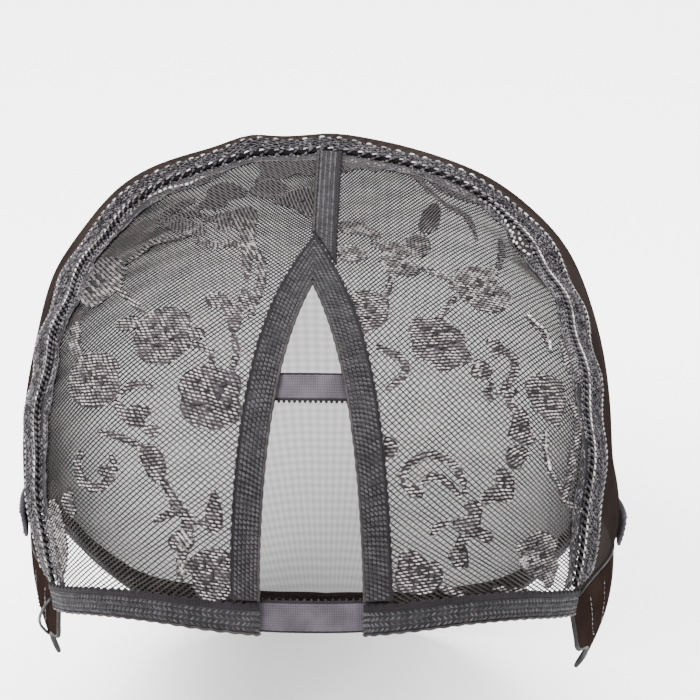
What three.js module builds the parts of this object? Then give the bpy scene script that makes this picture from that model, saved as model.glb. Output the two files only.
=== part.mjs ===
// A wig cap in the form it takes on a head: two lace front panels round a pointed parting opening
// with two elastic straps across it, sewn with a wide seam tape to a stretch panel for sides and nape.
// Millimetres, +Z up, the face looks along -Y. The origin is inside the crown, where the head carries it.
import * as THREE from 'three';

// Form of the head under the cap, measured from its widest level
const headWidth = 155;
const frontReach = 93.5;
const backReach = 99;
const crownRise = 73;
const napeDrop = 95;
const napeNarrowing = 0.3;
const planSquareness = 2.3;
const crownSquareness = 2.5;
const narrowingCurve = 1.5;

// Walls and the small gap that sewn pieces keep
const clothWall = 1;
const trimWall = 1.2;
const seamGap = 0.4;

// Parting opening and its binding
const openingLength = 84;
const openingWidth = 25;
const openingShift = 0.9;
const openingTaper = 2.5;
const bindingWidth = 7.4;

// Bands, tapes and straps
const hemWidth = 8.2;
const hemEnd = 50.4;
const seamTapeWidth = 10;
const centreTapeWidth = 6.4;
const centreTapeShift = 2.6;
const upperStrapWidth = 6.4;
const upperStrapPlace = 0.665;
const lowerStrapWidth = 7.8;
const napeBandWidth = 8;
const napeBandStart = 75;

// Ear tabs
const rightTabLength = 29.5;
const leftTabLength = 27;
const rightTabFlare = 4.2;
const leftTabFlare = 1.6;
const tabBend = 0.8;
const tabStart = 51;
const tabSpread = 22;

// Seam from the temple over the side to the crown: along runs 0 to 1, angles in degrees
const seamSections = [
  { along: 0.00, over: -16, side: 50.0 },
  { along: 0.12, over: 4, side: 53.5 },
  { along: 0.25, over: 26, side: 56.0 },
  { along: 0.38, over: 46, side: 55.5 },
  { along: 0.50, over: 63, side: 54.0 },
  { along: 0.62, over: 80, side: 51.0 },
  { along: 0.73, over: 94, side: 45.5 },
  { along: 0.83, over: 104, side: 36.0 },
  { along: 0.92, over: 111, side: 20.0 },
  { along: 1.00, over: 114, side: 0.0 },
];

// Lower edge all round: longitude from the face in degrees, drop as a share of napeDrop
const hemSections = [
  { longitude: 0, drop: 0.016 },
  { longitude: 20, drop: 0.020 },
  { longitude: 28, drop: 0.042 },
  { longitude: 36, drop: 0.086 },
  { longitude: 44, drop: 0.146 },
  { longitude: 50, drop: 0.190 },
  { longitude: 58, drop: 0.235 },
];
const earSections = [
  { longitude: 50, drop: 0.185 },
  { longitude: 58, drop: 0.160 },
  { longitude: 73, drop: 0.170 },
  { longitude: 86, drop: 0.190 },
  { longitude: 98, drop: 0.260 },
  { longitude: 110, drop: 0.420 },
  { longitude: 122, drop: 0.620 },
  { longitude: 136, drop: 0.810 },
  { longitude: 152, drop: 0.930 },
  { longitude: 166, drop: 0.985 },
  { longitude: 180, drop: 1.000 },
];

// Ear tab outline: down as a share of its length, front and back as shares of its spread
const tabSections = [
  { down: 0.00, front: 0.00, back: 1.00 },
  { down: 0.25, front: 0.02, back: 0.98 },
  { down: 0.45, front: 0.08, back: 0.93 },
  { down: 0.60, front: 0.30, back: 0.87 },
  { down: 0.80, front: 0.44, back: 0.76 },
  { down: 1.00, front: 0.54, back: 0.60 },
];

// Dents and swells of the stretched cloth: centre, reach and turn in degrees, rise as a share of crownRise
const dents = [
  { side: -56, over: 112, reachSide: 9, reachOver: 22, turn: 0, rise: 0.024 },
  { side: -36, over: 124, reachSide: 13, reachOver: 22, turn: 0, rise: 0.038 },
  { side: -13, over: 122, reachSide: 5, reachOver: 13, turn: 0, rise: 0.036 },
  { side: 2, over: 124, reachSide: 6, reachOver: 14, turn: 0, rise: 0.020 },
  { side: 20, over: 124, reachSide: 9, reachOver: 14, turn: 0, rise: -0.018 },
  { side: 50, over: 120, reachSide: 9, reachOver: 16, turn: 0, rise: 0.014 },
  { side: 72, over: -26, reachSide: 12, reachOver: 34, turn: 0, rise: 0.048 },
  { side: -57, over: -14, reachSide: 9, reachOver: 14, turn: 0, rise: -0.018 },
  { side: 41, over: 88, reachSide: 6, reachOver: 11, turn: 24, rise: -0.020 },
];
const rippleRise = 0.7;
const rippleCount = 6;
const rippleReach = 9;

// Where pieces start, tuck under their trim and settle into their corners
const laceTuck = 1;
const panelLead = 4;
const laceCornerPull = 12;
const laceCrownPull = 4;
const hemSquarePull = 8;
const leftPhase = 0.3;
const rightPhase = 0.8;

// Mesh steps; the lace and the stretch panel share theirs along the seam
const seamSteps = 32;
const crownSteps = 3;
const laceColumns = 10;
const panelColumns = 14;
const stripStep = 6;
const stripColumns = 2;
const centreColumns = 4;
const strapRows = 8;
const tabRows = 10;
const tabColumns = 5;
const openingSteps = 60;
const seamSampleCount = 160;

// Accuracy of the solved lines
const solveSteps = 34;
const levelSteps = 12;
const seamStep = 0.004;
const leanStep = 0.4;
const normalStep = 0.01;
const poleLimit = 0.05;
const narrowingLimit = 2;

const degree = Math.PI / 180;
const seamTurn = 1 - crownSteps / seamSteps;
const frontScale = (frontReach + crownRise) / 2 * degree;
const hemRise = -hemSections[0].drop * napeDrop;
const apexRise = hemRise + openingLength;
const originDrop = crownRise - clothWall;
const clothLayer = [-clothWall, 0];
const trimLayer = [seamGap, seamGap + trimWall];

// Smooth reading of a table between its rows
function readTable(rows, key, column, value) {
  let i = rows.findIndex((row) => row[key] >= value);
  i = i < 0 ? rows.length - 1 : Math.max(i, 1);
  const slope = (a, b) => (rows[b][column] - rows[a][column]) / (rows[b][key] - rows[a][key]);
  const tangent = (k) => slope(Math.max(k - 1, 0), Math.min(k + 1, rows.length - 1));
  const span = rows[i][key] - rows[i - 1][key];
  const t = THREE.MathUtils.clamp((value - rows[i - 1][key]) / span, 0, 1);
  const start = rows[i - 1][column];
  const end = rows[i][column];
  const bend = t * (1 - t) * ((1 - t) * (tangent(i - 1) * span) - t * (tangent(i) * span));
  return start + (end - start) * t * t * (3 - 2 * t) + bend;
}

// Directions from the head's centre
function overDirection(side, over) {
  const s = side * degree;
  const o = over * degree;
  return new THREE.Vector3(Math.sin(s), -Math.cos(s) * Math.cos(o), Math.cos(s) * Math.sin(o));
}

function headLevel(direction, radius) {
  const { x, y, z } = direction.clone().multiplyScalar(radius);
  const below = THREE.MathUtils.clamp(-z / napeDrop, 0, narrowingLimit);
  const width = 1 - napeNarrowing * below ** narrowingCurve;
  const reach = y < 0 ? frontReach : backReach;
  const plan = Math.abs(2 * x / (headWidth * width)) ** planSquareness
    + Math.abs(y / (reach * width)) ** planSquareness;
  return plan ** (crownSquareness / planSquareness) + (Math.max(z, 0) / crownRise) ** crownSquareness;
}

function headRadius(direction) {
  let low = 0;
  let high = headWidth + backReach;
  for (let i = 0; i < solveSteps; i += 1) {
    const middle = (low + high) / 2;
    if (headLevel(direction, middle) > 1) high = middle;
    else low = middle;
  }
  return (low + high) / 2;
}

const seamSamples = Array.from({ length: seamSampleCount + 1 }, (_, i) => {
  const along = i / seamSampleCount;
  return { along, direction: seamDirection(along, 1) };
});

// Dents, swells and the ripples beside the seam
function relief(direction) {
  const side = Math.asin(THREE.MathUtils.clamp(direction.x, -1, 1)) / degree;
  const over = Math.atan2(direction.z, -direction.y) / degree;
  let rise = 0;
  for (const dent of dents) {
    const c = Math.cos(dent.turn * degree);
    const s = Math.sin(dent.turn * degree);
    const a = (side - dent.side) * c + (over - dent.over) * s;
    const b = (over - dent.over) * c - (side - dent.side) * s;
    rise += crownRise * dent.rise * Math.exp(-((a / dent.reachSide) ** 2) - (b / dent.reachOver) ** 2);
  }
  const mirrored = new THREE.Vector3(Math.abs(direction.x), direction.y, direction.z);
  let nearest = seamSamples[0];
  for (const sample of seamSamples) {
    if (sample.direction.dot(mirrored) > nearest.direction.dot(mirrored)) nearest = sample;
  }
  const away = nearest.direction.angleTo(mirrored) / degree / rippleReach;
  const phase = direction.x < 0 ? leftPhase : rightPhase;
  const wave = Math.sin((nearest.along * rippleCount + phase) * 2 * Math.PI) * Math.sin(nearest.along * Math.PI);
  return rise + rippleRise * wave * Math.exp(-away * away);
}

function skinPoint(direction) {
  const d = direction.clone().normalize();
  return d.multiplyScalar(headRadius(d) + relief(d));
}

function skinNormal(direction) {
  const d = direction.clone().normalize();
  const across = new THREE.Vector3(0, 0, 1).cross(d);
  if (across.length() < poleLimit) across.set(1, 0, 0).cross(d);
  across.normalize();
  const up = d.clone().cross(across);
  const at = (v, k) => skinPoint(d.clone().addScaledVector(v, k * normalStep));
  const a = at(across, 1).sub(at(across, -1));
  const b = at(up, 1).sub(at(up, -1));
  return a.cross(b).normalize();
}

// A point of the cap, lifted off the skin and moved to the origin inside the crown
function capPoint(direction, lift) {
  const point = skinPoint(direction).addScaledVector(skinNormal(direction), lift);
  point.z -= originDrop;
  return point;
}

function midlineRadius(over) {
  return headRadius(overDirection(0, over));
}

// Front chart: millimetres across the opening's middle line and millimetres of rise along it
function frontDirection(across, rise) {
  const over = rise / frontScale;
  const flat = overDirection(0, over);
  const shift = openingShift * THREE.MathUtils.clamp((apexRise - rise) / openingLength, 0, 1);
  flat.x = (across + shift) / midlineRadius(over);
  return flat.normalize();
}

// hand is 1 for the right side and -1 for the left
function seamDirection(along, hand) {
  const over = readTable(seamSections, 'along', 'over', along);
  const side = readTable(seamSections, 'along', 'side', along);
  return overDirection(side * hand, over);
}

function levelDirection(longitude, level) {
  const turn = longitude * degree;
  const flat = new THREE.Vector3(Math.sin(turn), -Math.cos(turn), 0);
  let slope = 0;
  for (let i = 0; i < levelSteps; i += 1) {
    const direction = flat.clone().setZ(slope).normalize();
    slope += (level - headRadius(direction) * direction.z) / backReach;
  }
  return flat.setZ(slope).normalize();
}

function hemDirection(longitude, raise) {
  const drop = readTable(hemSections, 'longitude', 'drop', Math.abs(longitude));
  return levelDirection(longitude, raise - drop * napeDrop);
}

function earDirection(longitude, raise) {
  const drop = readTable(earSections, 'longitude', 'drop', Math.abs(longitude));
  return levelDirection(longitude, raise - drop * napeDrop);
}

// Edge of the opening and lines parallel to it, from the hem to the point on the midline
function openingHalf(rise) {
  const share = THREE.MathUtils.clamp((rise - hemRise) / openingLength, 0, 1);
  return openingWidth / 2 * (1 - share ** openingTaper);
}

function parallelToOpening(distance) {
  const points = [];
  for (let i = 0; i <= openingSteps; i += 1) {
    const rise = hemRise + openingLength * i / openingSteps;
    const lean = (openingHalf(rise - leanStep) - openingHalf(rise)) / leanStep;
    const tilt = Math.hypot(1, lean);
    points.push(new THREE.Vector2(openingHalf(rise) + distance / tilt, rise + distance * lean / tilt));
  }
  const last = points.at(-1);
  const before = points.at(-2);
  const reach = last.x * (last.y - before.y) / (before.x - last.x);
  if (distance > 0) points.push(new THREE.Vector2(0, last.y + reach));
  points[0].y = hemRise;
  return points;
}

// A point at a share of a polyline's length
function alongLine(points, share) {
  const lengths = [0];
  for (let i = 1; i < points.length; i += 1) lengths.push(lengths[i - 1] + points[i].distanceTo(points[i - 1]));
  const wanted = THREE.MathUtils.clamp(share, 0, 1) * lengths.at(-1);
  const i = Math.max(1, lengths.findIndex((length) => length >= wanted - 1e-9));
  const t = (wanted - lengths[i - 1]) / (lengths[i] - lengths[i - 1]);
  return points[i - 1].clone().lerp(points[i], t);
}

// The part of a front line that lies above a rise
function lineAbove(points, rise) {
  const i = points.findIndex((point) => point.y > rise);
  const t = (rise - points[i - 1].y) / (points[i].y - points[i - 1].y);
  return [points[i - 1].clone().lerp(points[i], t), ...points.slice(i)];
}

// Closed wall between two lifts over a grid of directions, rows by columns
function wall(rows, columns, directionAt, layer, liftAt = () => 0) {
  const positions = [];
  const faces = [];
  const index = (side, row, column) => (side * (rows + 1) + row) * (columns + 1) + column;
  for (const lift of [layer[1], layer[0]]) {
    for (let row = 0; row <= rows; row += 1) {
      for (let column = 0; column <= columns; column += 1) {
        const direction = directionAt(row / rows, column / columns);
        const point = capPoint(direction, lift + liftAt(row / rows, column / columns));
        positions.push(point.x, point.y, point.z);
      }
    }
  }
  const quad = (a, b, c, d) => faces.push(a, b, c, a, c, d);
  for (let row = 0; row < rows; row += 1) {
    for (let column = 0; column < columns; column += 1) {
      const corner = (side, r, c) => index(side, row + r, column + c);
      quad(corner(0, 0, 0), corner(0, 0, 1), corner(0, 1, 1), corner(0, 1, 0));
      quad(corner(1, 0, 0), corner(1, 1, 0), corner(1, 1, 1), corner(1, 0, 1));
    }
  }
  for (let row = 0; row < rows; row += 1) {
    quad(index(0, row, 0), index(0, row + 1, 0), index(1, row + 1, 0), index(1, row, 0));
    quad(index(0, row + 1, columns), index(0, row, columns), index(1, row, columns), index(1, row + 1, columns));
  }
  for (let column = 0; column < columns; column += 1) {
    quad(index(0, 0, column + 1), index(0, 0, column), index(1, 0, column), index(1, 0, column + 1));
    quad(index(0, rows, column), index(0, rows, column + 1), index(1, rows, column + 1), index(1, rows, column));
  }
  const geometry = new THREE.BufferGeometry();
  geometry.setAttribute('position', new THREE.Float32BufferAttribute(positions, 3));
  geometry.setIndex(faces);
  return facingOut(geometry);
}

// Turns every face over if the solid was built inside out
function facingOut(geometry) {
  const p = geometry.getAttribute('position');
  const faces = geometry.getIndex();
  const corner = [0, 1, 2].map(() => new THREE.Vector3());
  let volume = 0;
  for (let i = 0; i < faces.count; i += 3) {
    corner.forEach((v, k) => v.fromBufferAttribute(p, faces.getX(i + k)));
    volume += corner[0].dot(corner[1].clone().cross(corner[2]));
  }
  if (volume < 0) {
    for (let i = 0; i < faces.count; i += 3) {
      const swap = faces.getX(i + 1);
      faces.setX(i + 1, faces.getX(i + 2));
      faces.setX(i + 2, swap);
    }
  }
  geometry.computeVertexNormals();
  return geometry;
}

// Sum of four edges less their corners, as directions
function patchDirection(edges, u, v) {
  const sum = new THREE.Vector3();
  sum.addScaledVector(edges.inner(v), 1 - u).addScaledVector(edges.outer(v), u);
  sum.addScaledVector(edges.bottom(u), 1 - v).addScaledVector(edges.top(u), v);
  sum.addScaledVector(edges.inner(0), -(1 - u) * (1 - v)).addScaledVector(edges.outer(0), -u * (1 - v));
  sum.addScaledVector(edges.inner(1), -(1 - u) * v).addScaledVector(edges.outer(1), -u * v);
  return sum.normalize();
}

// A direction beside the seam, so many millimetres towards the face from its middle
function besideSeam(along, hand, distance) {
  const here = seamDirection(along, hand);
  const ahead = seamDirection(Math.min(along + seamStep, 1), hand);
  const behind = seamDirection(Math.max(along - seamStep, 0), hand);
  const heading = ahead.sub(behind);
  if (along > 1 - seamStep) heading.set(-hand, 0, 0);
  const sideways = here.clone().cross(heading).normalize().multiplyScalar(hand);
  return here.addScaledVector(sideways, distance / headRadius(here)).normalize();
}

function lacePanel(hand) {
  const half = bindingWidth / 2 + seamGap;
  const edge = parallelToOpening(half);
  const crownOver = seamSections.at(-1).over;
  const tapeSide = centreTapeShift + hand * seamGap / 2;
  const point = edge.at(-1);
  const meet = new THREE.Vector2(tapeSide * hand, point.y);
  const crown = new THREE.Vector2(tapeSide * hand, (crownOver - seamGap) * frontScale);
  const flank = edge.filter((p) => p.y < meet.y - bindingWidth && p.x > meet.x);
  const inner = [...flank, meet, crown];
  inner[0] = new THREE.Vector2(inner[0].x, hemRise + laceTuck);
  const clear = seamGap / 2;
  const start = Math.atan2(inner[0].x, midlineRadius(0)) / degree;
  const corner = besideSeam(0, hand, clear);
  const end = Math.atan2(Math.abs(corner.x), -corner.y) / degree;
  const edges = {
    inner: (v) => {
      const p = alongLine(inner, v);
      return frontDirection(p.x * hand, p.y);
    },
    outer: (v) => besideSeam(v * seamTurn, hand, clear),
    bottom: (u) => hemDirection(hand * THREE.MathUtils.lerp(start, end, u), laceTuck),
    top: (u) => {
      const across = THREE.MathUtils.lerp(1, seamTurn, u);
      return besideSeam(across, hand, clear);
    },
  };
  const first = edges.inner(0);
  const bottom = edges.bottom;
  edges.bottom = (u) => bottom(u)
    .lerp(first, (1 - u) ** laceCornerPull)
    .lerp(corner, u ** laceCornerPull)
    .normalize();
  const crownStart = edges.inner(1);
  const top = edges.top;
  edges.top = (u) => top(u).lerp(crownStart, (1 - u) ** laceCrownPull).normalize();
  return wall(seamSteps - crownSteps, laceColumns, (v, u) => patchDirection(edges, u, v), clothLayer);
}

// Sides, back and nape in one stretch panel, from the seam to the ears and the nape
function stretchPanel() {
  const clear = -seamGap / 2;
  const first = earSections[1].longitude - panelLead;
  const seamEdge = (w) => {
    const hand = w < 0.5 ? -1 : 1;
    return besideSeam(1 - Math.abs(1 - 2 * w), hand, clear);
  };
  const hemEdge = (w) => {
    const hand = w < 0.5 ? -1 : 1;
    const share = 1 - Math.abs(1 - 2 * w);
    return earDirection(hand * THREE.MathUtils.lerp(first, 180, share), 0);
  };
  const direction = (w, v) => {
    const a = seamEdge(w);
    const b = hemEdge(w);
    const angle = a.angleTo(b);
    return a.multiplyScalar(Math.sin((1 - v) * angle)).addScaledVector(b, Math.sin(v * angle)).normalize();
  };
  return wall(2 * seamSteps, panelColumns, direction, clothLayer);
}

// Binding folded to a point round the opening, its feet on the hem bands
function openingBinding() {
  const foot = hemRise + hemWidth + seamGap;
  const inner = lineAbove(parallelToOpening(0), foot);
  const outer = lineAbove(parallelToOpening(bindingWidth), foot);
  const rows = 2 * Math.round((openingLength + openingWidth) / stripStep);
  const direction = (t, u) => {
    const hand = t < 0.5 ? -1 : 1;
    const share = 1 - Math.abs(1 - 2 * t);
    const p = alongLine(inner, share).lerp(alongLine(outer, share), u);
    return frontDirection(p.x * hand, p.y);
  };
  return wall(rows, stripColumns, direction, trimLayer);
}

function hemBand(hand) {
  const start = Math.atan2(openingWidth / 2, frontReach) / degree;
  const length = (hemEnd - start) * degree * headWidth / 2;
  const direction = (t, u) => {
    const longitude = THREE.MathUtils.lerp(start, hemEnd, t);
    const level = hemDirection(hand * longitude, u * hemWidth);
    const square = frontDirection(hand * openingWidth / 2, hemRise + u * hemWidth);
    return level.lerp(square, (1 - t) ** hemSquarePull).normalize();
  };
  return wall(Math.round(length / stripStep), stripColumns, direction, trimLayer);
}

// Where the seam rises out of the hem bands
function seamFoot(distance) {
  const aboveHem = (along) => {
    const d = besideSeam(along, 1, distance);
    const longitude = Math.atan2(d.x, -d.y) / degree;
    return d.z > hemDirection(Math.min(longitude, hemEnd), hemWidth + seamGap).z;
  };
  let along = 0;
  while (!aboveHem(along)) along += seamStep / 2;
  return along;
}

function seamTape() {
  const half = seamTapeWidth / 2;
  const feet = [-half, 0, half].map(seamFoot);
  const rows = 2 * Math.round((headWidth + backReach) / stripStep);
  const direction = (t, u) => {
    const hand = t < 0.5 ? -1 : 1;
    const share = 1 - Math.abs(1 - 2 * t);
    const across = THREE.MathUtils.lerp(-half, half, u);
    const foot = feet[Math.round(u * stripColumns)];
    return besideSeam(THREE.MathUtils.lerp(foot, 1, share), hand, across);
  };
  return wall(rows, stripColumns, direction, trimLayer);
}

// Tape down the middle, its foot cut to sit on the point of the binding
function centreTape() {
  const outer = parallelToOpening(bindingWidth);
  const topRise = (across) => {
    let along = 1;
    let edge = besideSeam(along, 1, seamTapeWidth / 2 + seamGap);
    while (edge.x * crownRise < across) edge = besideSeam(along -= seamStep / 2, 1, seamTapeWidth / 2 + seamGap);
    return Math.atan2(edge.z, -edge.y) / degree * frontScale;
  };
  const tip = outer.at(-1);
  const side = outer.at(-2);
  const lean = (tip.y - side.y) / side.x;
  const direction = (t, u) => {
    const across = centreTapeShift + centreTapeWidth * (u - 0.5);
    const foot = tip.y - Math.max(across, 0) * lean + seamGap * Math.hypot(1, lean);
    return frontDirection(across, THREE.MathUtils.lerp(foot, topRise(across), t));
  };
  return wall(Math.round(2 * (topRise(0) - tip.y) / stripStep), centreColumns, direction, trimLayer);
}

function strap(rise, width) {
  const tuck = bindingWidth / 2 - seamGap / 2;
  const direction = (t, u) => {
    const level = rise + width * (u - 0.5);
    const reach = openingHalf(level) + tuck;
    return frontDirection(THREE.MathUtils.lerp(-reach, reach, t), level);
  };
  return wall(strapRows, stripColumns, direction, clothLayer);
}

// Pointed tab before the ear, hung from the panel's edge and standing a little off the cheek
function earTab(hand, length, flare) {
  const direction = (t, u) => {
    const front = readTable(tabSections, 'down', 'front', t);
    const back = readTable(tabSections, 'down', 'back', t);
    const longitude = tabStart + tabSpread * THREE.MathUtils.lerp(front, back, u);
    return earDirection(hand * longitude, -seamGap - length * t);
  };
  return wall(tabRows, tabColumns, direction, clothLayer, (t) => flare * Math.sin(tabBend * Math.PI * t));
}

function napeBand() {
  const rows = 2 * Math.round((headWidth + napeBandWidth * stripColumns) / stripStep);
  const direction = (t, u) => {
    const hand = t < 0.5 ? -1 : 1;
    const share = 1 - Math.abs(1 - 2 * t);
    const longitude = THREE.MathUtils.lerp(napeBandStart, 180, share);
    return earDirection(hand * longitude, u * napeBandWidth);
  };
  return wall(rows, stripColumns, direction, trimLayer);
}

const finishes = {
  lace: { color: 0x4a464b, roughness: 0.85, metalness: 0 },
  stretch: { color: 0x4b4647, roughness: 0.7, metalness: 0 },
  tape: { color: 0x524d52, roughness: 0.8, metalness: 0 },
  binding: { color: 0x3b393d, roughness: 0.85, metalness: 0 },
  elastic: { color: 0x6a6370, roughness: 0.7, metalness: 0 },
  tab: { color: 0x3f3230, roughness: 0.6, metalness: 0 },
};

const cap = new THREE.Group();

function addPiece(name, geometry, finish) {
  const material = new THREE.MeshStandardMaterial(finishes[finish]);
  const mesh = new THREE.Mesh(geometry, material);
  mesh.name = name;
  cap.add(mesh);
}

addPiece('lace_left', lacePanel(-1), 'lace');
addPiece('lace_right', lacePanel(1), 'lace');
addPiece('stretch_panel', stretchPanel(), 'stretch');
addPiece('seam_tape', seamTape(), 'tape');
addPiece('centre_tape', centreTape(), 'binding');
addPiece('opening_binding', openingBinding(), 'binding');
addPiece('hem_left', hemBand(-1), 'binding');
addPiece('hem_right', hemBand(1), 'binding');
addPiece('strap_upper', strap(hemRise + openingLength * upperStrapPlace, upperStrapWidth), 'elastic');
addPiece('strap_lower', strap(hemRise + hemWidth / 2, lowerStrapWidth), 'elastic');
addPiece('ear_tab_left', earTab(-1, leftTabLength, leftTabFlare), 'tab');
addPiece('ear_tab_right', earTab(1, rightTabLength, rightTabFlare), 'tab');
addPiece('nape_band', napeBand(), 'elastic');

export default cap;
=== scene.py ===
import bpy
import math
import numpy as np
from mathutils import Matrix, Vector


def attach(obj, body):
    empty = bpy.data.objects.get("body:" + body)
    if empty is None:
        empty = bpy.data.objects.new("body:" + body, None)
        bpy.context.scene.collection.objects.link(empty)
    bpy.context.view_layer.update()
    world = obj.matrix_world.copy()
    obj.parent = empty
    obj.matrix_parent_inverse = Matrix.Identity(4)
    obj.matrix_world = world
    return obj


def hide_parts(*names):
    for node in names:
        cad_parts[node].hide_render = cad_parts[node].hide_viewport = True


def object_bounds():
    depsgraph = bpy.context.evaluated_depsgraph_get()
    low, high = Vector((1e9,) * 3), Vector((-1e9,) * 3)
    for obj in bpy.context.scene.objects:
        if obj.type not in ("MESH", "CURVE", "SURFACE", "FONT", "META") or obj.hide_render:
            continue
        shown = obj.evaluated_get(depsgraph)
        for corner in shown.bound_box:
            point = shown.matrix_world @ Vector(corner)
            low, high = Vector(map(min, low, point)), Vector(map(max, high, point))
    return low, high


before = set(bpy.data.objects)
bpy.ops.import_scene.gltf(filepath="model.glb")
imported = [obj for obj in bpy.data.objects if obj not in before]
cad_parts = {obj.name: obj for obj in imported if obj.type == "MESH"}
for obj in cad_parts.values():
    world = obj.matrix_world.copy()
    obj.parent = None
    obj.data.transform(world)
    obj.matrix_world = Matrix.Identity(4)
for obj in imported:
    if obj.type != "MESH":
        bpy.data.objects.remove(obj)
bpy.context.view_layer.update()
print("frame loaded")

# Camera first. Its place was found by laying the CAD's edges over the photo. middle is the pixel on which the
# middle of the cap's form falls, split the column between the left and the right lace.
photo = dict(elevation=28, azimuth=1.6, distance=1000, focal=3788, middle=(318, 447), size=700, split=322)
sensor = 36
# How far the middle of the form lies below the frame's origin
formDrop = 72


def unit(v):
    return v / np.maximum(np.linalg.norm(v, axis=-1, keepdims=True), 1e-12)


tilt, turn = math.radians(photo["elevation"]), math.radians(photo["azimuth"])
viewBack = np.array([math.sin(turn) * math.cos(tilt), -math.cos(turn) * math.cos(tilt), math.sin(tilt)])
viewRight = np.array([math.cos(turn), math.sin(turn), 0])
viewUp = np.cross(viewBack, viewRight)
eye = viewBack * photo["distance"]


def pixelRay(x, y):
    across = (np.asarray(x, float) - photo["middle"][0]) / photo["focal"]
    down = (np.asarray(y, float) - photo["middle"][1]) / photo["focal"]
    return unit(-viewBack + across[..., None] * viewRight - down[..., None] * viewUp)


def toMetres(points):
    return (points - np.array([0, 0, formDrop])) * 0.001


def makeCamera():
    data = bpy.data.cameras.new("camera")
    data.sensor_width = sensor
    data.lens = photo["focal"] / photo["size"] * sensor
    data.clip_start, data.clip_end = 0.01, 20
    camera = bpy.data.objects.new("camera", data)
    bpy.context.collection.objects.link(camera)
    look = pixelRay(photo["size"] / 2, photo["size"] / 2)
    side = unit(np.cross(look, [0, 0, 1]))
    top = np.cross(side, look)
    camera.matrix_world = Matrix([[side[i], top[i], -look[i], toMetres(eye)[i]] for i in range(3)] + [[0, 0, 0, 1]])
    bpy.context.scene.camera = camera


makeCamera()

# Form of the cap, in millimetres, the same as in the CAD
form = dict(width=155, front=93.5, back=99, crown=73, nape=95, narrowing=0.3, plan=2.3, top=2.5, curve=1.5,
            search=3.2)
ripple = dict(rise=0.7, count=6, reach=9, leftPhase=0.3, rightPhase=0.8)

# along, over, side
seamRows = np.array([
    [0, -16, 50], [0.12, 4, 53.5], [0.25, 26, 56], [0.38, 46, 55.5], [0.5, 63, 54],
    [0.62, 80, 51], [0.73, 94, 45.5], [0.83, 104, 36], [0.92, 111, 20], [1, 114, 0],
])
# longitude, drop
hemRows = np.array([
    [0, 0.016], [20, 0.02], [28, 0.042], [36, 0.086], [44, 0.146], [50, 0.19], [58, 0.235],
])
earRows = np.array([
    [50, 0.185], [58, 0.16], [73, 0.17], [86, 0.19], [98, 0.26], [110, 0.42],
    [122, 0.62], [136, 0.81], [152, 0.93], [166, 0.985], [180, 1],
])
# side, over, reach to the side, reach over the top, turn, rise
dents = [
    (-56, 112, 9, 22, 0, 0.024), (-36, 124, 13, 22, 0, 0.038), (-13, 122, 5, 13, 0, 0.036),
    (2, 124, 6, 14, 0, 0.02), (20, 124, 9, 14, 0, -0.018), (50, 120, 9, 16, 0, 0.014),
    (72, -26, 12, 34, 0, 0.048), (-57, -14, 9, 14, 0, -0.018), (41, 88, 6, 11, 24, -0.02),
]


def readTable(rows, column, value):
    value = np.asarray(value, float)
    x, y = rows[:, 0], rows[:, column]
    slope = np.empty(len(x))
    slope[1:-1] = (y[2:] - y[:-2]) / (x[2:] - x[:-2])
    slope[0], slope[-1] = (y[1] - y[0]) / (x[1] - x[0]), (y[-1] - y[-2]) / (x[-1] - x[-2])
    i = np.clip(np.searchsorted(x, value), 1, len(x) - 1)
    span = x[i] - x[i - 1]
    t = np.clip((value - x[i - 1]) / span, 0, 1)
    bend = t * (1 - t) * ((1 - t) * slope[i - 1] - t * slope[i]) * span
    return y[i - 1] + (y[i] - y[i - 1]) * t * t * (3 - 2 * t) + bend


def overDirection(side, over):
    s, o = np.radians(side), np.radians(over)
    return np.stack(np.broadcast_arrays(np.sin(s), -np.cos(s) * np.cos(o), np.cos(s) * np.sin(o)), -1)


def formRadius(d):
    r = np.full(d.shape[:-1], 90.0)
    for i in range(12):
        p = d * r[..., None]
        below = np.clip(-p[..., 2] / form["nape"], 0, 2)
        width = 1 - form["narrowing"] * below ** form["curve"]
        reach = np.where(p[..., 1] < 0, form["front"], form["back"])
        plan = (np.abs(2 * p[..., 0] / (form["width"] * width)) ** form["plan"]
                + np.abs(p[..., 1] / (reach * width)) ** form["plan"])
        rise = (np.maximum(p[..., 2], 0) / form["crown"]) ** form["top"]
        r = r * (plan ** (form["top"] / form["plan"]) + rise) ** (-1 / form["search"])
    return r


seamSteps = 160
seamPlaces = np.linspace(0, 1, seamSteps + 1)
seamSamples = overDirection(readTable(seamRows, 2, seamPlaces), readTable(seamRows, 1, seamPlaces))


# Dents, swells and the ripples beside the seam
def relief(d):
    side = np.degrees(np.arcsin(np.clip(d[:, 0], -1, 1)))
    over = np.degrees(np.arctan2(d[:, 2], -d[:, 1]))
    rise = np.zeros(len(d))
    for atSide, atOver, reachSide, reachOver, angle, height in dents:
        c, s = math.cos(math.radians(angle)), math.sin(math.radians(angle))
        a = (side - atSide) * c + (over - atOver) * s
        b = (over - atOver) * c - (side - atSide) * s
        rise += form["crown"] * height * np.exp(-(a / reachSide) ** 2 - (b / reachOver) ** 2)
    near = (d * np.where(d[:, :1] < 0, [[-1, 1, 1]], [[1, 1, 1]])) @ seamSamples.T
    nearest = near.argmax(1)
    away = np.degrees(np.arccos(np.clip(near.max(1), -1, 1))) / ripple["reach"]
    along = nearest / seamSteps
    phase = np.where(d[:, 0] < 0, ripple["leftPhase"], ripple["rightPhase"])
    wave = np.sin((along * ripple["count"] + phase) * 2 * np.pi) * np.sin(along * np.pi)
    return rise + ripple["rise"] * wave * np.exp(-away * away)


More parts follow.
